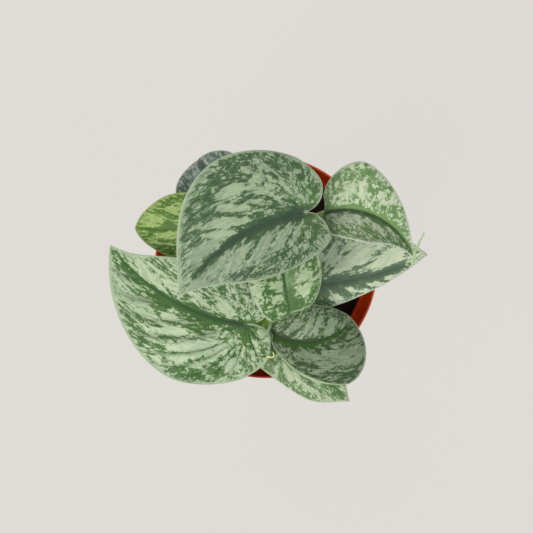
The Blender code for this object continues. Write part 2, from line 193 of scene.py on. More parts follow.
class Paint(Graph):
    """A material's node tree."""

    def __init__(self, name: str) -> None:
        """Make the material and keep its shader and the place on the piece, in metres."""
        self.material = bpy.data.materials.new(name)
        self.material.use_nodes = True
        super().__init__(self.material.node_tree)
        self.shader = self.tree.nodes["Principled BSDF"]
        self.place = self.add("ShaderNodeTexCoord", output="Object")

    def mix(self, share: Value, first: object, second: object) -> Value:
        """A colour between two others, which are node outputs or screen colours."""
        ends = [linear(end) if isinstance(end, tuple) else end for end in (first, second)]
        values = {"Factor_Float": share, "A_Color": ends[0], "B_Color": ends[1]}
        return self.add("ShaderNodeMix", values, "Result_Color", data_type="RGBA")

    def between(self, share: Value, first: Value, second: Value) -> Value:
        """A value between two others."""
        values = {"Factor_Float": share, "A_Float": first, "B_Float": second}
        return self.add("ShaderNodeMix", values, "Result_Float", data_type="FLOAT")

    def attribute(self, name: str) -> Value:
        """The value of a named number on the mesh."""
        return self.add("ShaderNodeAttribute", output="Fac", attribute_name=name)

    def axis(self, name: str) -> Value:
        """The place on the piece along X, Y or Z, in metres."""
        return self.add("ShaderNodeSeparateXYZ", {"Vector": self.place}, name)

    def vein_map(self) -> Value:
        """The place on a blade, measured round its margin and out along its side veins."""
        return self.add("ShaderNodeUVMap", output="UV", uv_map="veins")

    def noise(
        self,
        grain: float | Point,
        seed: float = 0.0,
        detail: float = 3.0,
        rough: float = 0.55,
        warp: float = 0.0,
        place: Value | None = None,
    ) -> Value:
        """A noise pattern.

        Args:
            grain: The size of a grain, or its sizes along the three axes, in millimetres.
            seed: Shifts the pattern to another part of the noise.
            detail: Number of finer layers.
            rough: Strength of the finer layers.
            warp: How far the pattern is pulled about.
            place: The coordinates that it follows, if not those of the piece.

        Returns:
            The noise value, 0.5 on average.
        """
        sizes = grain if isinstance(grain, tuple) else (grain,) * 3
        where = self.vector("MULTIPLY", place or self.place, tuple(1.0 / (size * MM) for size in sizes))
        where = self.vector("ADD", where, (seed, 1.7 * seed, 0.6 * seed))
        values = {"Vector": where, "Scale": 1.0, "Detail": detail, "Roughness": rough, "Distortion": warp}
        return self.add("ShaderNodeTexNoise", values, "Fac")

    def bump(self, height: Value, depth: float, under: Value | None = None) -> Value:
        """The normal of a relief of a depth in millimetres, over another relief if given."""
        values = {"Height": height, "Strength": 1.0, "Distance": depth * MM}
        if under:
            values["Normal"] = under
        return self.add("ShaderNodeBump", values, "Normal")

    def dress(self, colour: Value, rough: object, relief: Value | None = None,
              specular: float = 0.5) -> bpy.types.Material:
        """Connect the shader's inputs.

        Args:
            colour: The base colour.
            rough: The roughness.
            relief: The normal of the relief, if there is one.
            specular: The specular level.

        Returns:
            The finished material.
        """
        inputs = {"Base Color": colour, "Roughness": rough, "Specular IOR Level": specular}
        if relief:
            inputs["Normal"] = relief
        for name, value in inputs.items():
            self.feed(self.shader.inputs[name], value)
        return self.material


@dataclass(frozen=True)
class SatinLeaf:
    """The upper face of a leaf: silver patches on green, which follow the side veins."""

    seed: float
    silver: Colour
    silver_cool: Colour
    green: Colour
    dark: Colour
    # The dark midrib line: the midrib's own darker green, with painted shade in the crease along it.
    rib: Colour = (42, 66, 50)
    fresh: Colour = (112, 150, 80)
    margin: Colour = (160, 186, 150)
    size: float = 1.0

    WEB = 0.45
    COARSE = 1.6
    RAGGED = 2.7
    JAGGED = 0.45
    DASHED = 0.3
    JAG = 0.9

    def grain(self, paint: Paint, size: float, stretch: float, seed: float) -> Value:
        """A noise drawn out along the side veins, whose grain stays even where they fan in.

        Args:
            paint: The material's node tree.
            size: The size of a grain across the veins, in millimetres.
            stretch: How many times longer it is along them.
            seed: Shifts the pattern.

        Returns:
            The noise value.
        """
        veins = paint.vein_map()
        opened = paint.attribute("opened")
        shift = self.seed + seed
        outer = paint.noise((size, stretch * size, 1.0), shift, 4.0, 0.6, 0.5, veins)
        inner = paint.noise((2.2 * size, stretch * size, 1.0), shift + 2.0, 4.0, 0.6, 0.5, veins)
        close = paint.noise(size, shift + 5.0, 4.0, 0.6, 0.5)
        inner = paint.between(opened.step(0.12, 0.32), close, inner)
        return paint.between(opened.step(0.5, 0.85), inner, outer)

    def material(self, name: str) -> bpy.types.Material:
        """Build the material from the blade's vein map and painted numbers."""
        paint = Paint(name)
        speckle = paint.attribute("speckle")
        coarse = self.grain(paint, 4.2 * self.size, 1.3, 0.0)
        ragged = self.grain(paint, 2.0, 1.1, 3.1)
        dashes = self.grain(paint, 1.3, 3.0, 7.7)
        threads = self.grain(paint, 4.4 * self.size, 1.4, 9.4).spread(1.0)
        threads = paint.math("ABSOLUTE", threads).step(0.0, 0.07)
        values = {"Vector": paint.place, "Scale": 1.0 / (self.JAG * MM)}
        jags = paint.add("ShaderNodeTexVoronoi", values, "Color")
        wide = paint.noise(26.0, self.seed, 2.0)
        score = (
            paint.attribute("green")
            + coarse.spread(self.COARSE)
            + (0.65 - threads) * self.WEB
            + ragged.spread(self.RAGGED) * speckle
            + jags.spread(self.JAGGED) * speckle
            + dashes.spread(self.DASHED) * speckle
        )
        is_green = score.step(-0.03, 0.035)
        tint = (wide + dashes.spread(1.1) + ragged.spread(1.0)).step(0.3, 0.7)
        silver = paint.mix(tint, self.silver, self.silver_cool)
        faint = score.step(-0.35, 0.0) * 0.28
        # Painted shade: the silver turns greener in the valleys of the quilting.
        painted_valley_shade = paint.attribute("painted_valley_shade") * dashes.step(0.3, 0.6)
        silver = paint.mix(paint.math("MAXIMUM", faint, painted_valley_shade), silver, self.green)
        green = paint.mix(score.step(0.0, 0.75), self.green, self.dark)
        mottled = 0.2 + ragged.step(0.4, 0.58) * 0.8
        green = paint.mix(paint.attribute("fresh") * mottled, green, self.fresh)
        # The midrib line: its own darker green with painted shade in its crease.
        green = paint.mix(paint.attribute("rib") * ragged.step(0.2, 0.6), green, self.rib)
        # The tone multiplies in the painted light and shade of each half and of the quilting.
        colour = paint.vector("SCALE", paint.mix(is_green, silver, green), paint.attribute("tone_and_painted_shade"))
        colour = paint.mix(paint.attribute("margin"), colour, self.margin)
        cells = paint.noise(0.35, self.seed, 2.0)
        fine_veins = paint.noise((0.55, 14.0, 1.0), self.seed + 11.0, 2.0, place=paint.vein_map())
        relief = paint.bump(fine_veins, 0.16, paint.bump(cells, 0.06))
        return paint.dress(colour, 0.46 + cells.spread(0.22) + is_green * -0.06, relief, 0.3)


@dataclass(frozen=True)
class LeafUnderside:
    """The pale underside of a leaf, with its raised side veins."""

    name: str
    colour: Colour
    vein: Colour
    seed: float

    def material(self) -> bpy.types.Material:
        """Build the material from the blade's vein map."""
        paint = Paint(self.name)
        veins = paint.vein_map()
        patches = paint.noise((6.0, 14.0, 1.0), self.seed, 3.0, 0.5, 0.4, veins)
        lines = paint.noise((1.3, 30.0, 1.0), self.seed + 2.0, 2.0, place=veins)
        cells = paint.noise(0.3, self.seed, 2.0)
        colour = paint.mix((patches + lines.spread(0.5)).step(0.38, 0.64), self.colour, self.vein)
        relief = paint.bump(lines, 0.25, paint.bump(cells, 0.06))
        return paint.dress(colour, 0.58 + cells.spread(0.25), relief, 0.35)


@dataclass(frozen=True)
class LeafMargin:
    """The thin pale rim that runs round a leaf."""

    name: str
    colour: Colour
    worn: Colour

    def material(self) -> bpy.types.Material:
        """Build the material from places on the piece."""
        paint = Paint(self.name)
        grain = paint.noise(0.4, 1.0, 2.0)
        colour = paint.mix(paint.noise(5.0, 4.0).step(0.5, 0.72), self.colour, self.worn)
        return paint.dress(colour, 0.5 + grain.spread(0.2), paint.bump(grain, 0.04))


@dataclass(frozen=True)
class GreenStem:
    """Smooth yellow-green skin of the vines and leaf stalks."""

    name: str
    young: Colour = (176, 204, 112)
    old: Colour = (96, 132, 62)
    scar: Colour = (142, 124, 82)

    def material(self) -> bpy.types.Material:
        """Build the material from places on the piece."""
        paint = Paint(self.name)
        height = paint.axis("Z")
        blotches = paint.noise((5.0, 5.0, 12.0), 2.0)
        streaks = paint.noise((0.5, 0.5, 9.0), 5.0)
        pores = paint.noise((0.5, 0.5, 0.9), 9.0, 2.0)
        skin = paint.mix((height + blotches.spread(0.05)).step(0.09, 0.135), self.old, self.young)
        skin = paint.mix(streaks.step(0.5, 0.75), skin, self.old)
        low = 1.0 - height.step(0.088, 0.094)
        marked = paint.math("MAXIMUM", pores.step(0.62, 0.72) * 0.5, low)
        relief = paint.bump(streaks, 0.25, paint.bump(pores, 0.05))
        return paint.dress(paint.mix(marked, skin, self.scar), 0.42 + pores.spread(0.25), relief)


@dataclass(frozen=True)
class MouldedPlastic:
    """Thin orange-red plastic with faint flow lines and scuffs, a painted highlight along its lip and
    painted shade at its south edge.
    """

    name: str = "moulded_plastic"
    body: Colour = (248, 78, 10)
    deep: Colour = (226, 62, 6)
    # Colour of the pale scuffs, and of the painted highlight along the top of the lip.
    lip: Colour = (222, 90, 46)
    dust: Colour = (176, 78, 42)
    # Painted shade: the colour of the rim's south edge.
    painted_south_shade: Colour = (150, 40, 12)

    def material(self) -> bpy.types.Material:
        """Build the material from places on the piece."""
        paint = Paint(self.name)
        clouds = paint.noise((30.0, 30.0, 18.0), 1.0, 4.0)
        flow = paint.noise((2.2, 2.2, 60.0), 3.0)
        grain = paint.noise(0.45, 5.0)
        scuffs = paint.noise((9.0, 9.0, 0.7), 8.0, 4.0, 0.7)
        dusty = (clouds + grain.spread(0.7)).step(0.5, 0.75) * 0.25
        colour = paint.mix((clouds + flow.spread(0.35)).step(0.34, 0.66), self.deep, self.body)
        colour = paint.mix(scuffs.step(0.6, 0.74) * 0.3, colour, self.lip)
        # Painted highlight: the top of the lip is painted pale.
        edge = (paint.axis("Z") + grain.spread(0.0006)).step(0.1043, 0.1049)
        colour = paint.mix(edge, colour, self.lip)
        colour = paint.mix(dusty, colour, self.dust)
        # Painted shade: the pot's south edge, beyond 50 mm south of the middle, is painted darker.
        colour = paint.mix((paint.axis("Y") * -1.0).step(0.05, 0.06), colour, self.painted_south_shade)
        relief = paint.bump(flow, 0.10, paint.bump(grain, 0.035))
        return paint.dress(colour, 0.4 + grain.spread(0.16) + dusty * 0.6, relief, 0.25)


@dataclass(frozen=True)
class Peat:
    """Dark moist potting soil, and the crumbs and fibres in it."""

    name: str
    dark: Colour
    light: Colour
    grain: float
    rough: float = 0.92

    def material(self) -> bpy.types.Material:
        """Build the material from places on the piece."""
        paint = Paint(self.name)
        size = self.grain
        clumps = paint.noise(3.0 * size, 2.0, 4.0, 0.6)
        grit = paint.noise(size, 6.0, 4.0, 0.7)
        colour = paint.mix((clumps + grit.spread(0.9)).step(0.42, 0.78), self.dark, self.light)
        relief = paint.bump(grit, 0.8 * size, paint.bump(clumps, size))
        return paint.dress(colour, self.rough + grit.spread(0.25), relief, 0.3)


@dataclass(frozen=True)
class TenderSkin:
    """Pale skin of thin young parts, streaked along their length."""

    name: str
    pale: Colour
    deep: Colour

    def material(self) -> bpy.types.Material:
        """Build the material from places on the piece."""
        paint = Paint(self.name)
        fibres = paint.noise((0.6, 4.0, 0.6), 3.0)
        colour = paint.mix(fibres.step(0.35, 0.65), self.deep, self.pale)
        return paint.dress(colour, 0.45 + fibres.spread(0.2), paint.bump(fibres, 0.1))


@dataclass(frozen=True)
class PaleFloor:
    """The plain pale surface that the pot stands on."""

    name: str = "pale_floor"
    colour: Colour = (221, 218, 213)
    body: float = 0.06
    glow: float = 0.95

    def material(self) -> bpy.types.Material:
        """Build the material, which glows a little so that its shadows stay faint."""
        paint = Paint(self.name)
        cloud = paint.noise(400.0, 1.0, 2.0)
        colour = paint.vector("SCALE", linear(self.colour, self.body)[:3], 0.99 + cloud * 0.01)
        paint.feed(paint.shader.inputs["Emission Color"], linear(self.colour))
        paint.feed(paint.shader.inputs["Emission Strength"], self.glow)
        return paint.dress(colour, 0.9, specular=0.2)


class GeometryTree(Graph):
    """A Geometry Nodes tree with named inputs, put on an object and turned into its mesh."""

    SOCKETS = {float: "NodeSocketFloat", int: "NodeSocketInt", bpy.types.Material: "NodeSocketMaterial"}

    def __init__(self, name: str, inputs: dict) -> None:
        """Make the tree with its inputs, which are numbers or materials by name."""
        super().__init__(bpy.data.node_groups.new(name, "GeometryNodeTree"))
        face = self.tree.interface
        for way in ("INPUT", "OUTPUT"):
            face.new_socket(name="Geometry", in_out=way, socket_type="NodeSocketGeometry")
        self.values = {}
        for key, value in inputs.items():
            socket = face.new_socket(name=key, in_out="INPUT", socket_type=self.SOCKETS[type(value)])
            self.values[socket.identifier] = value
        self.inputs = self.node("NodeGroupInput").outputs

    def given(self, name: str) -> Value:
        """The value of one of the tree's inputs."""
        return Value(self, self.inputs[name])

    def named(self, name: str) -> Value:
        """A named number of the mesh."""
        return self.add("GeometryNodeInputNamedAttribute", {"Name": name}, "Attribute")

    def shifted(self, geometry: Value, offset: Value) -> Value:
        """The geometry with its points moved."""
        return self.add("GeometryNodeSetPosition", {"Geometry": geometry, "Offset": offset})

    def along_normal(self, distance: Value) -> Value:
        """A move along the surface's normal."""
        return self.vector("SCALE", self.add("GeometryNodeInputNormal", output="Normal"), distance)

    def coloured(self, geometry: Value, material: str, where: object = True) -> Value:
        """The geometry with the material of one of the tree's inputs on the faces chosen."""
        values = {"Geometry": geometry, "Selection": where, "Material": self.given(material)}
        return self.add("GeometryNodeSetMaterial", values)

    def joined(self, *parts: Value) -> Value:
        """Several geometries as one."""
        node = self.node("GeometryNodeJoinGeometry")
        for part in parts:
            self.feed(node.inputs[0], part)
        return Value(self, node.outputs[0])

    def finish(self, geometry: Value) -> None:
        """Realize the result and lead it out of the tree."""
        real = self.add("GeometryNodeRealizeInstances", {"Geometry": geometry})
        self.node("NodeGroupOutput", {"Geometry": real})

    def apply(self, piece: bpy.types.Object) -> None:
        """Run the tree on an object and keep the result as its plain mesh."""
        change = piece.modifiers.new(self.tree.name, "NODES")
        change.node_group = self.tree
        for identifier, value in self.values.items():
            change[identifier] = value
        settle(piece)


def settle(piece: bpy.types.Object) -> None:
    """Turn an object's modifiers into its plain mesh and remove them."""
    graph = bpy.context.evaluated_depsgraph_get()
    shown = piece.evaluated_get(graph)
    mesh = bpy.data.meshes.new_from_object(shown, preserve_all_data_layers=True, depsgraph=graph)
    piece.modifiers.clear()
    piece.data = mesh


def new_mesh(name: str, points: list, edges: list, faces: list) -> bpy.types.Mesh:
    """A mesh from points in millimetres, with its edges or faces."""
    mesh = bpy.data.meshes.new(name)
    mesh.from_pydata([tuple(value * MM for value in point) for point in points], edges, faces)
    return mesh


def keep_numbers(mesh: bpy.types.Mesh, numbers: dict[str, np.ndarray]) -> None:
    """Keep arrays by name as numbers on a mesh's points."""
    for name, values in numbers.items():
        layer = mesh.attributes.new(name, "FLOAT", "POINT")
        layer.data.foreach_set("value", np.array(values, dtype=np.float32))


def new_object(name: str, data: bpy.types.ID) -> bpy.types.Object:
    """Put a mesh, lamp or camera in the scene as an object at the origin."""
    piece = bpy.data.objects.new(name, data)
    bpy.context.scene.collection.objects.link(piece)
    return piece


def smooth(mesh: bpy.types.Mesh) -> None:
    """Shade every face of a mesh smoothly."""
    mesh.polygons.foreach_set("use_smooth", [True] * len(mesh.polygons))


def cover(mesh: bpy.types.Mesh, material: bpy.types.Material) -> None:
    """Give a mesh one material in place of any others."""
    mesh.materials.clear()
    mesh.materials.append(material)


def mounted(piece: bpy.types.Object, node: str) -> None:
    """Fix a finished piece to the plant in the place of a CAD node.

    Args:
        piece: The finished piece.
        node: The CAD node that it stands for, or an empty text for an extra piece.
    """
    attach(piece, "root")
    if node:
        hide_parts(node)
    piece.data.calc_loop_triangles()
    LOG.info("%s: %d triangles", piece.name, len(piece.data.loop_triangles))


@dataclass(frozen=True)
class HalfBlade:
    """One half of a leaf blade, on one side of its midrib, as the CAD model has it."""

    width: float
    widest_at: float
    lobe_back: float
    lobe_out: float
    rise: float
    curl: float
    fullness: float
    tip_angle: float
    shoulder: float = ROUND
    wave: float = 0.6
    quilt: float = 0.14
    vein_gap: float = 5.0
    slant: float = 0.6
    sweep: float = 1.3
    square: float = 0.0

    def outline(self, length: float, steps: int = 200) -> np.ndarray:
        """The margin from the stalk round to the tip.

        Args:
            length: The blade's length.
            steps: Stretches on each of the three curves.

        Returns:
            The points in order, each as its place along the midrib and its distance from it.
        """
        width = self.width
        widest = self.widest_at * length
        back = self.lobe_back
        lobe = (-back, self.lobe_out)
        top = (widest, width)
        tip = (length, 0.0)
        rise = self.shoulder * (width - self.lobe_out)
        run = self.shoulder * (widest + back)
        reach = 0.45 * (length - widest)
        angle = math.radians(self.tip_angle)
        leave = (-(0.55 + 0.4 * self.square) * back, (0.06 - 0.11 * self.square) * self.lobe_out)
        lobe_start = (-back, self.lobe_out * (1.0 - ROUND - 0.25 * self.square))
        fuller = (widest + self.fullness * (length - widest), width)
        before_tip = (length - reach * math.cos(angle), reach * math.sin(angle))
        first = bezier((0.0, 0.0), leave, lobe_start, lobe, steps)
        second = bezier(lobe, (lobe[0], lobe[1] + rise), (widest - run, width), top, steps)
        return np.concatenate([first[:-1], second[:-1], bezier(top, fuller, before_tip, tip, steps)])


@dataclass(frozen=True)
class Marking:
    """How a blade's green and silver are laid out.

    Each spot of left and right is a place on that half: its distance round the margin, its
    distance out along the side vein, how far it reaches each way, and its weight, which is
    above 0 where it is greener than its surroundings.
    """

    cover: float = -0.14
    band_left: float = 4.5
    band_right: float = 4.5
    band_end: float = 0.25
    rib_left: float = 2.4
    rib_right: float = 2.4
    fresh_left: float = 0.0
    fresh_right: float = 0.0
    fresh_from: float = 0.0
    flush: float = 0.5
    # These multiply each half's colours: for the half's own tone, and as painted light and shade where
    # more or less light falls on that half.
    tone_and_painted_shade_left: float = 1.0
    tone_and_painted_shade_right: float = 1.0
    fringe: float = 0.22
    hem: float = 0.8
    calm: float = 0.68
    band_stop: float = 0.95
    line_left: float = 0.3
    line_right: float = 0.3
    left: tuple[Spot, ...] = ()
    right: tuple[Spot, ...] = ()


class BladeSheet:
    """A blade's middle surface and what is measured at each of its points.

    The measures are around, the distance round the margin to where the point's side vein
    ends; out, the way along the vein; left_over, the rest of that way; to_rim, the distance
    to the nearest margin; share, where on the midrib the vein starts; opened, how far the
    veins have fanned out; and side, which is 1, -1 or 0 on the midrib.
    """

    MEASURES = ("around", "out", "left_over", "to_rim", "share", "opened", "side")

    def __init__(self) -> None:
        """Start with nothing."""
        self.points = []
        self.faces = []
        self.corners = []
        self.measures = {name: [] for name in self.MEASURES}

    def extend(self, points: np.ndarray, **measures: object) -> None:
        """Add points with a measure for each, or with one for all of them."""
        self.points += list(points)
        for name, values in measures.items():
            self.measures[name] += list(np.broadcast_to(values, len(points)))

    def measured(self, *names: str) -> list[np.ndarray]:
        """Some of the measures as arrays."""
        return [np.array(self.measures[name]) for name in names]

    def by_half(self, left: float, right: float) -> np.ndarray:
        """The one value on the left half and the midrib, and the other on the right half."""
        return np.where(np.array(self.measures["side"]) >= 0, left, right)


@dataclass(frozen=True)
class Leaf:
    """A leaf blade: where its stalk meets it, how its midrib runs, its halves and finish."""

    name: str
    slot: str
    stalk_at: Point
    heading: float
    bend: float
    pitch: float
    droop: float
    length: float
    left: HalfBlade
    right: HalfBlade
    marking: Marking
    finish: SatinLeaf
    tip_drop: float = 0.0

    WAVE_LENGTH = 21.0
    STATIONS = 96
    ROW_GAP = 0.9
    ACROSS = 34
    THICKNESS = 0.6
    EDGE_SHARE = 0.35
    RIB_DEPTH = 0.2
    RIB_WIDTH = 1.3
    KEEL = 0.7
    KEEL_START = 14.0
    COLLAR = 0.9
    OTHER_HALF = 0.5
    BOW = (0.28, 0.58)
    DENSEST = 0.3
    PALEST = -0.95
    BAND_WEIGHT = 1.1
    BAND_CORE = 0.84
    BAND_FALL = 1.4
    FRINGE_DEPTH = 6.0
    BAND_FADE = 0.12
    RIB_FADE = 0.4
    FRESH_FADE = 0.08
    FLUSH_REACH = 12.0
    SPECKLE_REACH = 9.0
    HEM_WEIGHT = 0.9
    COLLAR_WEIGHT = 0.8
    MIX_WIDTH = 2.4
    RIM_REACH = 2.5
    RIM_SHADE = 0.12
    QUILT_SHADE = 0.17

    def midrib(self, steps: int = 200) -> tuple[np.ndarray, ...]:
        """The midrib as distances, points in millimetres, and its three directions."""
        along = np.linspace(0.0, self.length, steps + 1)
        share = along / self.length
        heading = np.radians(self.heading + self.bend * share)
        drop = self.tip_drop * ease((share - 0.6) / 0.4)
        pitch = np.radians(self.pitch + self.droop * share + drop)
        level = np.stack([np.cos(heading), np.sin(heading), 0 * heading], 1)
        up = np.array((0.0, 0.0, 1.0))
        forward = np.cos(pitch)[:, None] * level + np.sin(pitch)[:, None] * up
        normal = np.cos(pitch)[:, None] * up - np.sin(pitch)[:, None] * level
        leftward = np.cross(normal, forward)
        points = np.zeros_like(forward)
        stretch = (forward[1:] + forward[:-1]) / 2 * (self.length / steps)
        points[1:] = np.cumsum(stretch, axis=0)
        return along, points + np.array(self.stalk_at), forward, normal, leftward

    def placed(self, half: HalfBlade, side: Side, flat: np.ndarray) -> np.ndarray:
        """Bend flat points of a half blade to where they lie in space.

        Args:
            half: The half blade.
            side: Which half it is.
            flat: (along, out) points.

        Returns:
            The points in space, in millimetres.
        """
        along, points, forward, normal, leftward = self.midrib()
        where = np.clip(flat[..., 0], 0.0, self.length)

        def at(values: np.ndarray) -> np.ndarray:
            """Values of the midrib at these points."""
            return np.stack([np.interp(where, along, values[:, axis]) for axis in range(3)], -1)

        turn = math.radians(half.curl) / half.width
        start = math.radians(half.rise)
        out = flat[..., 1]
        sideways = (np.sin(start + turn * out) - math.sin(start)) / turn
        lift = (math.cos(start) - np.cos(start + turn * out)) / turn
        ripple = np.sin(2 * math.pi * flat[..., 0] / self.WAVE_LENGTH + side.value)
        lift = lift + half.wave * (out / half.width) ** 2 * ripple
        back = np.minimum(flat[..., 0], 0.0)[..., None]
        return (
            at(points)
            + back * at(forward)
            + side.value * sideways[..., None] * at(leftward)
            + lift[..., None] * at(normal)
        )

    def stations(self) -> np.ndarray:
        """Distances along the midrib where side veins leave it, in both halves alike."""
        share = np.linspace(0.0, 1.0, self.STATIONS + 1)
        return self.length * (0.5 * share + 0.5 * share**2)

    def vein_ends(self, half: HalfBlade) -> tuple[list, int]:
        """Where side veins start and end.

        Args:
            half: The half blade.

        Returns:
            A list of (start, end point, distance round the margin) and the number of rows
            that fan out from the stalk.
        """
        edge = half.outline(self.length)
        lean = half.slant + half.sweep * np.clip(edge[:, 0] / self.length, 0.0, 1.0)
        source = edge[:, 0] - lean * edge[:, 1]
        travelled = np.concatenate([[0.0], np.cumsum(np.linalg.norm(np.diff(edge, axis=0), axis=1))])
        turn = int(np.flatnonzero(source <= 0.0)[-1])
        ahead = np.maximum.accumulate(source[turn:])
        fan = round(travelled[turn] / self.ROW_GAP)
        starts = [(0.0, distance) for distance in np.linspace(0.0, travelled[turn], fan + 1)[1:]]
        for station in self.stations()[1:-1]:
            starts.append((station, float(np.interp(station, ahead, travelled[turn:]))))
        rows = []
        for start, distance in starts:
            end = [np.interp(distance, travelled, edge[:, axis]) for axis in range(2)]
            if start > 0.0:
                end = [np.interp(start, ahead, edge[turn:, axis]) for axis in range(2)]
            rows.append((start, np.array(end), distance))
        return rows, fan

    def sheet(self) -> BladeSheet:
        """Lay out the blade's middle surface along its side veins."""
        rib = np.stack([self.stations(), np.zeros(self.STATIONS + 1)], 1)
        wide = self.left.width
        share = rib[:, 0] / self.length
        sheet = BladeSheet()
        sheet.extend(
            self.placed(self.left, Side.LEFT, rib),
            around=0.0, out=0.0, left_over=wide, to_rim=wide, share=share, opened=0.0, side=0,
        )
        sheet.measures["left_over"][0] = 0.5
        sheet.measures["left_over"][-1] = 0.0
        sheet.measures["to_rim"][-1] = 0.0
        for side, half in ((Side.LEFT, self.left), (Side.RIGHT, self.right)):
            self.add_half(sheet, side, half)
        return sheet

    def add_half(self, sheet: BladeSheet, side: Side, half: HalfBlade) -> None:
        """Add one half's points, faces and vein map to the sheet.

        Args:
            sheet: The sheet to add to.
            side: Which half it is.
            half: Its shape.
        """
        ends, fan = self.vein_ends(half)
        rim = half.outline(self.length, 400)
        share = np.linspace(0.0, 1.0, self.ACROSS + 1)[:, None]
        flats = []
        for start, end, _ in ends:
            foot = np.array((start, 0.0))
            bow = foot + np.array((self.BOW[0] * (end[0] - start), self.BOW[1] * end[1]))
            flats.append((1 - share) ** 2 * foot + 2 * share * (1 - share) * bow + share**2 * end)
        travelled = np.array([distance for _, _, distance in ends]) + 0.001 * np.arange(len(ends))
        opened = np.linalg.norm(np.gradient(np.array(flats), travelled, axis=0), axis=-1)
        rows = [[0] * (self.ACROSS + 1)]
        maps = [[]]
        shift = 0.0 if side is Side.LEFT else self.OTHER_HALF
        for index, (start, _, distance) in enumerate(ends):
            flat = flats[index]
            out = np.concatenate([[0.0], np.cumsum(np.linalg.norm(np.diff(flat, axis=0), axis=1))])
            first = len(sheet.points)
            sheet.extend(
                self.placed(half, side, flat[1:]),
                around=distance,
                out=out[1:],
                left_over=out[-1] - out[1:],
                to_rim=np.linalg.norm(flat[1:, None] - rim, axis=-1).min(axis=-1),
                share=start / self.length,
                opened=opened[index, 1:],
                side=side.value,
            )
            rows.append([max(0, index - fan + 1)] + list(range(first, first + self.ACROSS)))
            maps.append([(distance * MM + shift, far * MM) for far in out])
        for index in range(fan, len(ends)):
            sheet.measures["opened"][index - fan + 1] = opened[index, 0]
        rows.append([self.STATIONS] * (self.ACROSS + 1))
        maps.append([(ends[-1][2] * MM + shift, 0.0)] * (self.ACROSS + 1))
        maps[0] = [(shift, far) for _, far in maps[1]]
        for lower in range(len(rows) - 1):
            for step in range(self.ACROSS):
                kept = {}
                for ahead, aside in ((0, 0), (1, 0), (1, 1), (0, 1)):
                    row = lower + ahead
                    kept.setdefault(rows[row][step + aside], maps[row][step + aside])
                if len(kept) < 3:
                    continue
                corners = list(kept.items())[:: side.value]
                sheet.faces.append([point for point, _ in corners])
                sheet.corners += [spot for _, spot in corners]

    def painted(self, sheet: BladeSheet) -> dict[str, np.ndarray]:
        """The numbers that the upper face's colours follow, by name, one value a point."""
        marking = self.marking
        around, out, left_over, to_rim, share, opened, side = sheet.measured(*sheet.MEASURES)
        band = sheet.by_half(marking.band_left, marking.band_right)
        band = band * (1.0 - (1.0 - marking.band_end) * share**1.3)
        before_tip = ease((marking.band_stop - share) / self.BAND_FADE)
        faded = ease((marking.band_stop - share) / self.RIB_FADE)
        patches = marking.fringe * bell(left_over - 0.8 * self.FRINGE_DEPTH, self.FRINGE_DEPTH)
        for half, spots in ((Side.LEFT, marking.left), (Side.RIGHT, marking.right)):
            for round_margin, far, reach_round, reach_far, weight in spots:
                off = ((around - round_margin) / reach_round) ** 2 + ((out - far) / reach_far) ** 2
                patches = patches + np.where(side == half.value, weight * np.exp(-off), 0.0)
        patches = np.clip(patches, self.PALEST, self.DENSEST)
        reach = np.exp(-((out / (self.BAND_CORE * band)) ** self.BAND_FALL))
        green = marking.cover + self.BAND_WEIGHT * before_tip * reach + patches
        width = sheet.by_half(marking.rib_left, marking.rib_right) * (1.0 - 0.5 * share)
        leftness = ease(0.5 + side * out / self.MIX_WIDTH)
        fresh = marking.fresh_right + (marking.fresh_left - marking.fresh_right) * leftness
        begun = ease((share - marking.fresh_from) / self.FRESH_FADE + 1.0)
        flush = marking.flush * bell(out, self.FLUSH_REACH) * (share == 0.0)
        # Each point's tone: its half's own tone and painted light and shade, darker towards the margin.
        tone_and_painted_shade = marking.tone_and_painted_shade_right + (marking.tone_and_painted_shade_left - marking.tone_and_painted_shade_right) * leftness
        line = sheet.by_half(marking.line_left, marking.line_right)
        collar = self.COLLAR_WEIGHT * bell(share * self.length + out, self.COLLAR)
        return {
            "green": green - self.HEM_WEIGHT * bell(left_over, marking.hem),
            "speckle": marking.calm + (1.0 - marking.calm) * bell(left_over, self.SPECKLE_REACH),
            # The midrib line: its own darker green with painted shade in its crease.
            "rib": bell(out, width) * (1.0 - 0.6 * share) * faded * begun,
            "fresh": np.maximum(fresh * begun * ease((1.5 * band - out) / band), flush),
            "tone_and_painted_shade": tone_and_painted_shade * (1.0 - self.RIM_SHADE * bell(left_over, self.RIM_REACH)),
            "opened": opened,
            "margin": np.maximum(1.0 - ease(to_rim / line), collar),
            "out_along_vein": out * MM,
            "rib_share": share,
            "taper": self.EDGE_SHARE + (1.0 - self.EDGE_SHARE) * ease(left_over / 1.2),
        }

    def quilted(self, sheet: BladeSheet) -> dict[str, np.ndarray]:
        """The height of the quilting, the painted shade in its valleys and the painted light and shade on
        it.
        """
        around, out, left_over = sheet.measured("around", "out", "left_over")
        across = out / np.maximum(out + left_over, 0.1)
        gap = sheet.by_half(self.left.vein_gap, self.right.vein_gap)
        depth = sheet.by_half(self.left.quilt, self.right.quilt)
        pillow = np.abs(np.sin(math.pi * around / gap))

        def held(from_rib: float, from_margin: float) -> np.ndarray:
            """1 over most of the blade, and 0 at the midrib and at the margin."""
            return ease(across / from_rib) * ease((1 - across) / from_margin)

        return {
            "quilting": depth * (pillow**0.8 - 0.6) * held(0.3, 0.35) * MM,
            # Painted shade in the valleys: how much their silver turns green.
            "painted_valley_shade": (0.1 + 0.38 * depth) * ease(1.0 - pillow * 1.05) * held(0.2, 0.2),
            "shade": 1.0 + self.QUILT_SHADE * depth * (pillow**1.6 - 0.5) * held(0.25, 0.2),
        }

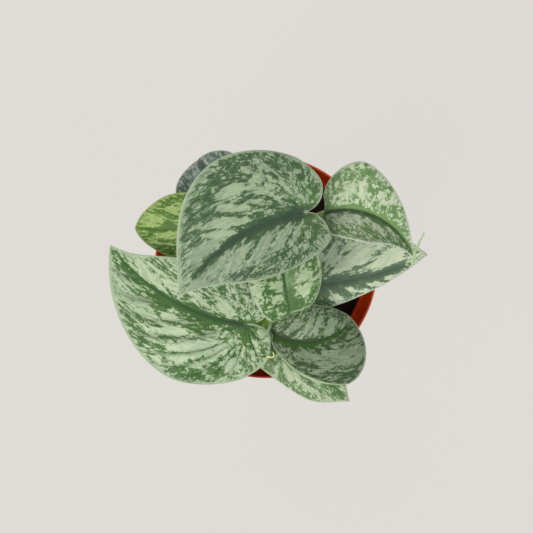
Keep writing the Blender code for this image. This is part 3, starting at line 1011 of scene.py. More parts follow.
    def relief_tree(self) -> GeometryTree:
        """Geometry Nodes that raise the quilting, sink the midrib and give thickness."""
        inputs = {
            "Rib depth": self.RIB_DEPTH * MM,
            "Rib width": self.RIB_WIDTH * MM,
            "Keel": self.KEEL * MM,
            "Thickness": self.THICKNESS * MM,
            "Weld": WELD,
            "Upper": self.finish.material(self.name.replace("leaf", "satin")),
            "Under": UNDERSIDES[self.slot],
            "Margin": MARGINS[self.slot],
        }
        tree = GeometryTree(f"{self.name}_relief", inputs)
        out = tree.math("DIVIDE", tree.named("out_along_vein"), tree.given("Rib width"))
        near = tree.math("EXPONENT", out * out * -1.0)
        share = tree.named("rib_share")
        groove = near * (tree.given("Rib depth") * -1.0)
        level = tree.named("quilting") + groove + tree.given("Thickness") * -0.5
        low = tree.shifted(tree.given("Geometry"), tree.along_normal(level))
        body = (1.0 - share) * tree.math("MINIMUM", share * self.KEEL_START, 1.0)
        keel = near * body * tree.given("Keel")
        under = tree.shifted(low, tree.along_normal(keel * -1.0))
        under = tree.coloured(tree.add("GeometryNodeFlipFaces", {"Mesh": under}), "Under")
        thin = tree.given("Thickness") * tree.named("taper")
        values = {"Mesh": low, "Offset Scale": thin, "Individual": False}
        raised, top, edge = (
            Value(tree, output) for output in tree.node("GeometryNodeExtrudeMesh", values).outputs
        )
        upper = tree.coloured(tree.coloured(raised, "Upper", top), "Margin", edge)
        whole = {"Geometry": tree.joined(under, upper), "Distance": tree.given("Weld")}
        tree.finish(tree.add("GeometryNodeMergeByDistance", whole))
        return tree

    def build(self) -> None:
        """Build the blade and put it in the place of its CAD node."""
        sheet = self.sheet()
        mesh = new_mesh(self.name, sheet.points, [], sheet.faces)
        numbers = self.painted(sheet) | self.quilted(sheet)
        # The quilting's painted light and shade goes into each point's tone.
        numbers["tone_and_painted_shade"] = numbers["tone_and_painted_shade"] * numbers.pop("shade")
        keep_numbers(mesh, numbers)
        veins = mesh.uv_layers.new(name="veins")
        veins.uv.foreach_set("vector", np.array(sheet.corners, dtype=np.float32).ravel())
        piece = new_object(f"{self.name}_blade", mesh)
        self.relief_tree().apply(piece)
        smooth(piece.data)
        mounted(piece, self.name)


@dataclass(frozen=True)
class Stalk:
    """A leaf stalk: the leaf it carries, where it leaves the vine, and how it curves."""

    leaf: str
    starts_at: float
    sets_off: Point
    arrives: float

    FORWARD = 1.4
    BELOW = 0.75
    FOOT_RADIUS = 1.5
    NECK_RADIUS = 1.0
    SWELLING = (0.9, 0.6, 0.3, 0.1)
    KNEE = 0.18
    ALONG_RIB = ((3.2, 1.30, 0.85), (6.5, 1.15, 0.6), (11.0, 1.0, 0.36))

    def path(self, leaf: Leaf, start: np.ndarray) -> tuple[np.ndarray, np.ndarray]:
        """The stalk's centre line, which runs on under the midrib.

        Args:
            leaf: The leaf it carries.
            start: Where it leaves the vine.

        Returns:
            The points in millimetres and the radius at each.
        """
        along, rib, forward, normal, _ = leaf.midrib()
        foot = np.array(leaf.stalk_at) + self.FORWARD * forward[0] - self.BELOW * normal[0]
        route = bezier(start, start + self.sets_off, foot - self.arrives * normal[0], foot, 24)
        radii = np.linspace(self.FOOT_RADIUS, self.NECK_RADIUS, len(route))
        radii[: len(self.SWELLING)] += np.array(self.SWELLING)
        radii[-5:-1] += self.KNEE
        tail = []
        for distance, below, radius in self.ALONG_RIB:
            index = int(np.searchsorted(along, distance))
            tail.append((*(rib[index] - below * normal[index]), radius))
        tail = np.array(tail)
        return np.concatenate([route, tail[:, :3]]), np.concatenate([radii, tail[:, 3]])


@dataclass(frozen=True)
class Vine:
    """A vine: its foot in the soil, the point its top leans to, and its leaves' stalks."""

    name: str
    foot: tuple[float, float]
    top: Point
    stalks: tuple[Stalk, ...]

    LEAN_FROM = 96.0
    BURIED = (66.0, 78.0, 88.0)
    RADIUS = 2.1
    TOP_RADIUS = 1.7
    NODE_SWELL = 0.55
    NODE_REACH = 0.045
    NUB_LENGTH = 3.2
    NUB_STEPS = (0, 0.5, 0.8, 1.2)
    NUB_RADII = (0.9, 0.8, 0.6, 0.3)
    SIDES = 14
    VOXEL = 0.26

    def path(self) -> tuple[np.ndarray, np.ndarray]:
        """The vine's centre line in millimetres, and its radius with a swelling at each node."""
        foot = np.array((*self.foot, self.LEAN_FROM))
        top = np.array(self.top)
        rise = np.array((0.0, 0.0, (top[2] - foot[2]) / 3))
        above = bezier(foot, foot + rise, top - rise, top, 40)
        share = np.linspace(0.0, 1.0, len(above))
        radii = self.RADIUS + (self.TOP_RADIUS - self.RADIUS) * share
        for stalk in self.stalks:
            radii = radii + self.NODE_SWELL * bell(share - stalk.starts_at, self.NODE_REACH)
        buried = [(*self.foot, height) for height in self.BURIED]
        return np.concatenate([buried, above]), np.concatenate([[self.RADIUS] * len(buried), radii])

    def nubs(self, above: np.ndarray) -> list:
        """Short aerial root nubs opposite each leaf stalk, as routes with their radii."""
        made = []
        for index, stalk in enumerate(self.stalks):
            spot = above[int(stalk.starts_at * (len(above) - 1))]
            away = -np.array((stalk.sets_off[0], stalk.sets_off[1], 0.0))
            length = np.linalg.norm(away)
            turn = 2.1 * index + 0.6
            plain = np.array((math.cos(turn), math.sin(turn), 0.0))
            away = away / length if length > 0.5 else plain
            low = np.array((0.0, 0.0, -1.0))
            route = [spot + away * self.NUB_LENGTH * step + low * step * step for step in self.NUB_STEPS]
            made.append((route, self.NUB_RADII))
        return made

    def build(self) -> None:
        """Build the vine with its stalks, grown together, in the place of its CAD node."""
        path, radii = self.path()
        above = path[len(self.BURIED):]
        routes = [(path, radii)] + self.nubs(above)
        for stalk in self.stalks:
            spot = stalk.starts_at * (len(above) - 1)
            start = [np.interp(spot, range(len(above)), above[:, axis]) for axis in range(3)]
            routes.append(stalk.path(LEAVES[stalk.leaf], np.array(start)))
        skin = GreenStem(f"{self.name}_skin").material()
        piece = rounded(f"{self.name}_vine", self.name, routes, self.SIDES, skin)
        knit = piece.modifiers.new("grown_together", "REMESH")
        knit.mode = "VOXEL"
        knit.voxel_size = self.VOXEL * MM
        eased = piece.modifiers.new("eased", "SMOOTH")
        eased.factor = 0.5
        eased.iterations = 4
        settle(piece)
        cover(piece.data, skin)
        smooth(piece.data)
        mounted(piece, self.name)


def rounded(piece_name: str, name: str, routes: list, sides: int,
            skin: bpy.types.Material) -> bpy.types.Object:
    """A piece of chains of edges that Geometry Nodes give a round thickness.

    Args:
        piece_name: The piece's name.
        name: What the names of its mesh and its tree start with.
        routes: Pairs of points in millimetres and the radius at each.
        sides: Sides of the round section.
        skin: The material of the surface.

    Returns:
        The piece.
    """
    points, edges, radii = [], [], []
    for route, thickness in routes:
        first = len(points)
        points += list(route)
        edges += [(first + step, first + step + 1) for step in range(len(route) - 1)]
        radii += [value * MM for value in thickness]
    mesh = new_mesh(name, points, edges, [])
    keep_numbers(mesh, {"thickness": radii})
    piece = new_object(piece_name, mesh)
    tree = GeometryTree(f"{name}_round", {"Sides": sides, "Skin": skin})
    circle = {"Resolution": tree.given("Sides"), "Radius": 1.0}
    values = {
        "Curve": tree.add("GeometryNodeMeshToCurve", {"Mesh": tree.given("Geometry")}),
        "Profile Curve": tree.add("GeometryNodeCurvePrimitiveCircle", circle, "Curve"),
        "Scale": tree.named("thickness"),
        "Fill Caps": True,
    }
    tree.finish(tree.coloured(tree.add("GeometryNodeCurveToMesh", values), "Skin"))
    tree.apply(piece)
    return piece


@dataclass(frozen=True)
class Strand:
    """A thin round part that follows a curve, which is given by its four points."""

    name: str
    curve: tuple[Point, Point, Point, Point]
    radius: float
    end_radius: float
    skin: TenderSkin
    slot: str

    SIDES = 12

    def build(self) -> None:
        """Build the strand as an extra piece."""
        route = bezier(*self.curve, 32)
        radii = np.linspace(self.radius, self.end_radius, len(route))
        piece = rounded(self.name, self.name, [(route, radii)], self.SIDES, self.skin.material())
        smooth(piece.data)
        mounted(piece, "")


@dataclass(frozen=True)
class NurseryPot:
    """The pot: one thin moulding with a flared collar, a ledge and drain holes."""

    rim_radius: float = 60.0
    height: float = 105.0
    wall: float = 1.2
    foot_outer: float = 41.0
    foot_inner: float = 36.5
    floor_rise: float = 3.0
    floor_flat: float = 16.0
    raised_inner: float = 18.5
    raised_outer: float = 34.0
    floor: float = 1.4
    collar_depth: float = 13.0
    ledge_radius: float = 55.0
    ledge_width: float = 0.9
    collar_step: float = 1.3
    drain_holes: int = 6
    drain_radius: float = 3.6
    drain_circle: float = 26.0
    drain_sides: int = 32
    drain_cut: tuple[float, float] = (-5.0, 10.0)
    segments: int = 180
    sharp: float = 38.0

    def inner_radius(self, height: float) -> float:
        """The pot's inner radius at a height below its ledge."""
        ledge = self.height - self.collar_depth
        share = (height - self.floor) / (ledge - self.floor)
        return self.foot_outer + share * (self.ledge_radius - self.ledge_width - self.foot_outer)

    def lip(self) -> list[tuple[float, float]]:
        """Points over the rounded lip, from outside to inside."""
        radius = self.wall / 2
        centre = (self.rim_radius - radius, self.height - radius)
        turns = np.linspace(-0.15 * math.pi, 1.1 * math.pi, 11)
        return [(centre[0] + radius * math.cos(t), centre[1] + radius * math.sin(t)) for t in turns]

    def section(self) -> list[tuple[float, float]]:
        """The half section, from the middle of the underside round to the middle of the floor."""
        ledge = self.height - self.collar_depth
        body_top = self.inner_radius(ledge) + self.wall
        collar = body_top + self.collar_step
        inside = self.ledge_radius - self.ledge_width
        floor = self.floor
        rise = self.floor_rise
        return [
            (0.0, 0.0),
            (self.floor_flat - 0.2, 0.0),
            (self.floor_flat + 0.1, 0.15),
            (self.raised_inner - 0.2, rise - 0.15),
            (self.raised_inner + 0.2, rise),
            (self.raised_outer - 0.2, rise),
            (self.raised_outer + 0.2, rise - 0.15),
            (self.foot_inner - 0.1, 0.15),
            (self.foot_inner + 0.2, 0.0),
            (self.foot_outer - 0.1, 0.0),
            (self.foot_outer + 0.45, 0.2),
            (self.foot_outer + 0.95, 0.65),
            (self.foot_outer + self.wall, 1.3),
            (body_top - 0.08, ledge - 2 * self.wall - 0.5),
            (body_top + 0.1, ledge - 2 * self.wall + 0.1),
            (collar - 0.15, ledge - self.wall - 0.1),
            (collar + 0.05, ledge - self.wall + 0.4),
            *self.lip(),
            (self.ledge_radius + 0.25, ledge + 0.9),
            (self.ledge_radius, ledge + 0.25),
            (self.ledge_radius - 0.3, ledge + 0.02),
            (inside + 0.2, ledge),
            (inside, ledge - 0.25),
            (self.inner_radius(2 * floor + 1.0), 2 * floor + 1.0),
            (self.foot_outer - 0.2, 1.7 * floor),
            (self.foot_outer - 0.9, floor),
            (self.foot_inner + 0.6, floor),
            (self.raised_outer + 0.6, rise + floor),
            (self.raised_inner - 0.6, rise + floor),
            (self.floor_flat - 0.6, floor),
            (0.0, floor),
        ]

    def drain_bars(self) -> bpy.types.Object:
        """The upright round bars that cut the drain holes."""
        points, faces = [], []
        sides = self.drain_sides
        radius = self.drain_radius
        turns = np.linspace(0.0, 2 * math.pi, sides, endpoint=False)
        for hole in range(self.drain_holes):
            turn = 2 * math.pi * hole / self.drain_holes
            x = self.drain_circle * math.cos(turn)
            y = self.drain_circle * math.sin(turn)
            low = list(range(len(points), len(points) + sides))
            high = [point + sides for point in low]
            for height in self.drain_cut:
                points += [(x + radius * math.cos(t), y + radius * math.sin(t), height) for t in turns]
            for side in range(sides):
                after = (side + 1) % sides
                faces.append((low[side], low[after], high[after], high[side]))
            faces += [low[::-1], high]
        return new_object("drain_cutters", new_mesh("drain_cutters", points, [], faces))

    def build(self) -> None:
        """Spin the section, cut the drain holes and put the pot in its CAD node's place."""
        piece = new_object("nursery_pot_moulding", spun("nursery_pot", self.section(), self.segments))
        bars = self.drain_bars()
        cut = piece.modifiers.new("drain_holes", "BOOLEAN")
        cut.object = bars
        cut.operation = "DIFFERENCE"
        cut.solver = "EXACT"
        settle(piece)
        bpy.data.objects.remove(bars)
        cover(piece.data, MouldedPlastic().material())
        smooth(piece.data)
        piece.data.set_sharp_from_angle(angle=math.radians(self.sharp))
        mounted(piece, "nursery_pot")


def spun(name: str, section: list, segments: int) -> bpy.types.Mesh:
    """Spin a half section, which starts and ends on the upright axis, into a closed mesh.

    Args:
        name: The mesh's name.
        section: (radius, height) points in millimetres.
        segments: Number of steps round the axis.

    Returns:
        The mesh in metres, with its faces pointing outwards.
    """
    turns = np.linspace(0.0, 2 * math.pi, segments, endpoint=False)
    points, rings, faces = [], [], []
    for radius, height in section:
        first = len(points)
        if radius == 0.0:
            points.append((0.0, 0.0, height))
            rings.append([first] * segments)
        else:
            points += [(radius * math.cos(t), radius * math.sin(t), height) for t in turns]
            rings.append(list(range(first, first + segments)))
    for lower, upper in zip(rings, rings[1:]):
        for index in range(segments):
            after = (index + 1) % segments
            corners = (lower[index], lower[after], upper[after], upper[index])
            faces.append(tuple(dict.fromkeys(corners)))
    return new_mesh(name, points, [], faces)


@dataclass(frozen=True)
class SoilBed:
    """The potting soil with its crumbs and fibres."""

    pot: NurseryPot
    level: float = 88.0
    mound: float = 1.5
    lump: float = 0.9
    fit: float = 0.3
    rings: int = 60
    segments: int = 180
    crumbs: float = 0.17
    fibres: float = 0.02
    crumbs_off_wall: float = 1.8
    fibres_off_wall: float = 8.0
    relief: float = 1.6
    seed: int = 17
    crumb_radius: float = 1.0
    crumb_scales: tuple[float, float] = (0.35, 1.25)
    fibre_radius: float = 0.16
    fibre_scales: tuple[float, float] = (0.6, 1.5)
    squash: Point = (1.0, 0.85, 0.62)

    def height(self, x: float, y: float) -> float:
        """How far the soil's top lies above its level at the wall."""
        reach = self.pot.inner_radius(self.level)
        inward = max(0.0, 1.0 - (x * x + y * y) / reach**2)
        lumps = math.sin(0.31 * x + 1.3) * math.cos(0.27 * y + 0.4)
        lumps += 0.6 * math.sin(0.83 * x - 0.52 * y) * math.sin(0.71 * y + 0.2 * x)
        return self.mound * inward + self.lump * lumps * min(1.0, 3.0 * inward)

    def section(self) -> list[tuple[float, float]]:
        """The half section, from the middle of the bottom round to the middle of the top."""
        pot = self.pot
        low = pot.floor + self.fit
        high = low + pot.floor_rise
        outer = pot.inner_radius(self.level) - self.fit
        section = [
            (0.0, low),
            (pot.floor_flat - 0.8, low),
            (pot.raised_inner - 0.8, high),
            (pot.raised_outer + 0.8, high),
            (pot.foot_inner + 0.8, low),
            (pot.foot_outer - 1.2, low),
            (pot.inner_radius(2 * pot.floor) - self.fit - 0.2, 2 * pot.floor),
        ]
        return section + [(outer * (1 - ring / self.rings), self.level) for ring in range(self.rings + 1)]

    def crumble_tree(self, materials: dict[str, bpy.types.Material]) -> GeometryTree:
        """Geometry Nodes that roughen the top and strew it with crumbs and fibres.

        Args:
            materials: The materials by the names Soil, Crumb and Fibre.

        Returns:
            The tree.
        """
        inputs = {
            "Crumbs": self.crumbs / MM**2,
            "Fibres": self.fibres / MM**2,
            "Roughness": self.relief * MM,
            "Seed": self.seed,
        }
        tree = GeometryTree("crumbly_soil", inputs | materials)
        place = tree.add("GeometryNodeInputPosition")
        parts = tree.node("ShaderNodeSeparateXYZ", {"Vector": place}).outputs
        east, north, height = (Value(tree, part) for part in parts)
        top = tree.math("GREATER_THAN", height, (self.level - 2.0) * MM)
        reach = tree.math("SQRT", east * east + north * north)
        values = {"Vector": place, "Scale": 0.22 / MM, "Detail": 4.0, "Roughness": 0.65}
        rough = (tree.add("ShaderNodeTexNoise", values, "Fac") - 0.5) * tree.given("Roughness")
        up = tree.add("ShaderNodeCombineXYZ", {"Z": rough * top})
        bed = tree.shifted(tree.given("Geometry"), up)
        wall = self.pot.inner_radius(self.level)
        kept = []
        for off_wall in (self.crumbs_off_wall, self.fibres_off_wall):
            inside = tree.math("LESS_THAN", reach, (wall - off_wall) * MM) * top
            kept.append(tree.add("GeometryNodeFieldOnDomain", {"Value": inside}, domain="FACE"))
        crumbs = self.strewn(tree, bed, kept[0], "Crumbs", self.crumb_shape(tree), self.crumb_scales)
        fibres = self.strewn(tree, bed, kept[1], "Fibres", self.fibre_shape(tree), self.fibre_scales)
        coloured = zip((bed, crumbs, fibres), materials)
        tree.finish(tree.joined(*(tree.coloured(part, name) for part, name in coloured)))
        return tree

    def crumb_shape(self, tree: GeometryTree) -> Value:
        """A knobbly crumb of few faces, about 2 mm across."""
        values = {"Radius": self.crumb_radius * MM, "Subdivisions": 2}
        ball = tree.add("GeometryNodeMeshIcoSphere", values, "Mesh")
        values = {"Vector": tree.add("GeometryNodeInputPosition"), "Scale": 0.9 / MM, "Detail": 1.0}
        lump = tree.add("ShaderNodeTexNoise", values, "Fac")
        return tree.shifted(ball, tree.along_normal(lump.spread(1.8 * MM)))

    def fibre_shape(self, tree: GeometryTree) -> Value:
        """A thin bent fibre, about 9 mm long."""
        curve = {
            "Resolution": 7,
            "Start": (-4.0 * MM, 0.0, 0.0),
            "Start Handle": (-1.5 * MM, 2.2 * MM, 0.8 * MM),
            "End Handle": (1.5 * MM, -2.4 * MM, 0.6 * MM),
            "End": (4.5 * MM, 0.6 * MM, 0.0),
        }
        circle = {"Resolution": 5, "Radius": self.fibre_radius * MM}
        values = {
            "Curve": tree.add("GeometryNodeCurvePrimitiveBezierSegment", curve),
            "Profile Curve": tree.add("GeometryNodeCurvePrimitiveCircle", circle, "Curve"),
            "Fill Caps": True,
        }
        return tree.add("GeometryNodeCurveToMesh", values)

    def strewn(self, tree: GeometryTree, bed: Value, where: Value, density: str, shape: Value,
               sizes: tuple[float, float]) -> Value:
        """Strew a small shape over the bed.

        Args:
            tree: The tree to add to.
            bed: The soil's surface.
            where: Which faces take the shapes.
            density: The name of the tree's input for their number on a square metre.
            shape: The shape.
            sizes: Its smallest and largest scale.

        Returns:
            The strewn shapes as plain geometry.
        """
        seed = tree.given("Seed")
        values = {"Mesh": bed, "Selection": where, "Density": tree.given(density), "Seed": seed}
        points = tree.add("GeometryNodeDistributePointsOnFaces", values, "Points")
        turns = {"Min": (-0.5, -0.5, 0.0), "Max": (0.5, 0.5, 6.283), "Seed": seed}
        scales = {"Min_001": sizes[0], "Max_001": sizes[1], "Seed": seed}
        size = tree.add("FunctionNodeRandomValue", scales, 1, data_type="FLOAT")
        values = {
            "Points": points,
            "Instance": shape,
            "Rotation": tree.add("FunctionNodeRandomValue", turns, data_type="FLOAT_VECTOR"),
            "Scale": tree.vector("MULTIPLY", size, self.squash),
        }
        strewn = tree.add("GeometryNodeInstanceOnPoints", values)
        return tree.add("GeometryNodeRealizeInstances", {"Geometry": strewn})

    def build(self) -> None:
        """Build the soil in the place of its CAD node."""
        mesh = spun("potting_soil", self.section(), self.segments)
        for vertex in mesh.vertices:
            if vertex.co.z > (self.level - 0.01) * MM:
                vertex.co.z += self.height(vertex.co.x / MM, vertex.co.y / MM) * MM
        piece = new_object("potting_soil_bed", mesh)
        materials = {
            "Soil": Peat("peat", (24, 18, 15), (44, 30, 24), 0.7).material(),
            "Crumb": Peat("peat_crumbs", (26, 19, 16), (62, 42, 32), 0.6).material(),
            "Fibre": Peat("peat_fibres", (66, 46, 34), (104, 78, 56), 0.5, 0.8).material(),
        }
        self.crumble_tree(materials).apply(piece)
        mounted(piece, "potting_soil")


@dataclass(frozen=True)
class Studio:
    """The camera straight above the pot, a pale floor and soft light."""

    camera_height: float = 1305.0
    lens: float = 150.49
    sensor: float = 36.0
    picture: float = 533.0
    pot_centre: tuple[float, float] = (266.0, 266.7)
    floor_size: float = 12000.0
    sky: Colour = (236, 238, 240)
    sky_strength: float = 0.46
    lamps_face: float = 120.0
    warm: Colour = (255, 250, 246)
    cool: Colour = (244, 248, 255)

    def add_camera(self) -> None:
        """Add the camera that the photograph was taken with."""
        data = bpy.data.cameras.new("camera")
        data.sensor_width = self.sensor
        data.lens = self.lens
        data.shift_x = (self.picture / 2 - self.pot_centre[0]) / self.picture
        data.shift_y = (self.pot_centre[1] - self.picture / 2) / self.picture
        data.clip_end = 100.0
        camera = new_object("camera", data)
        camera.location = (0.0, 0.0, self.camera_height * MM)
        bpy.context.scene.camera = camera

    def add_floor(self) -> None:
        """Add the floor as part of the stage."""
        half = self.floor_size / 2
        corners = [(-half, -half, 0.0), (half, -half, 0.0), (half, half, 0.0), (-half, half, 0.0)]
        mesh = new_mesh("floor", corners, [], [(0, 1, 2, 3)])
        cover(mesh, PaleFloor().material())
        new_object("floor", mesh)

    def add_sky(self) -> None:
        """Fill the surroundings with an even pale light."""
        world = bpy.data.worlds.new("surroundings")
        world.use_nodes = True
        back = world.node_tree.nodes["Background"]
        back.inputs["Color"].default_value = linear(self.sky)
        back.inputs["Strength"].default_value = self.sky_strength
        bpy.context.scene.world = world

    def add_softbox(self, name: str, place: Point, size: float, energy: float, colour: Colour) -> None:
        """Add a square lamp that faces the plant.

        Args:
            name: The lamp's name.
            place: Where it hangs, in millimetres.
            size: Its side, in millimetres.
            energy: Its power in watts.
            colour: Its colour.
        """
        data = bpy.data.lights.new(name, "AREA")
        data.shape = "SQUARE"
        data.size = size * MM
        data.energy = energy
        data.color = linear(colour)[:3]
        lamp = new_object(name, data)
        away = np.array(place) - np.array((0.0, 0.0, self.lamps_face))
        flat = math.hypot(away[0], away[1])
        lamp.location = [value * MM for value in place]
        lamp.rotation_euler = (math.atan2(flat, away[2]), 0.0, math.atan2(away[0], -away[1]))

    def build(self) -> None:
        """Set up the whole studio."""
        bpy.context.scene.view_settings.view_transform = "Standard"
        self.add_camera()
        self.add_floor()
        self.add_sky()
        self.add_softbox("key_softbox", (-900.0, -700.0, 1450.0), 1000.0, 19.0, self.warm)
        self.add_softbox("back_softbox", (-400.0, 1000.0, 1450.0), 1000.0, 7.0, self.warm)
        self.add_softbox("fill_softbox", (1000.0, -700.0, 1300.0), 1300.0, 6.0, self.cool)


SILVER = "leaf_silver_green"
YOUNG = "leaf_young_green"
OLD = "leaf_old_green"
UNDERSIDES = {
    SILVER: LeafUnderside("under_silver", (134, 164, 118), (108, 142, 94), 2.0).material(),
    YOUNG: LeafUnderside("under_young", (148, 176, 100), (120, 154, 76), 5.0).material(),
    OLD: LeafUnderside("under_old", (112, 138, 108), (92, 118, 90), 8.0).material(),
}
MARGINS = {
    SILVER: LeafMargin("rim_silver", (172, 196, 154), (150, 172, 122)).material(),
    YOUNG: LeafMargin("rim_young", (176, 200, 128), (160, 176, 104)).material(),
    OLD: LeafMargin("rim_old", (120, 144, 120), (104, 122, 100)).material(),
}

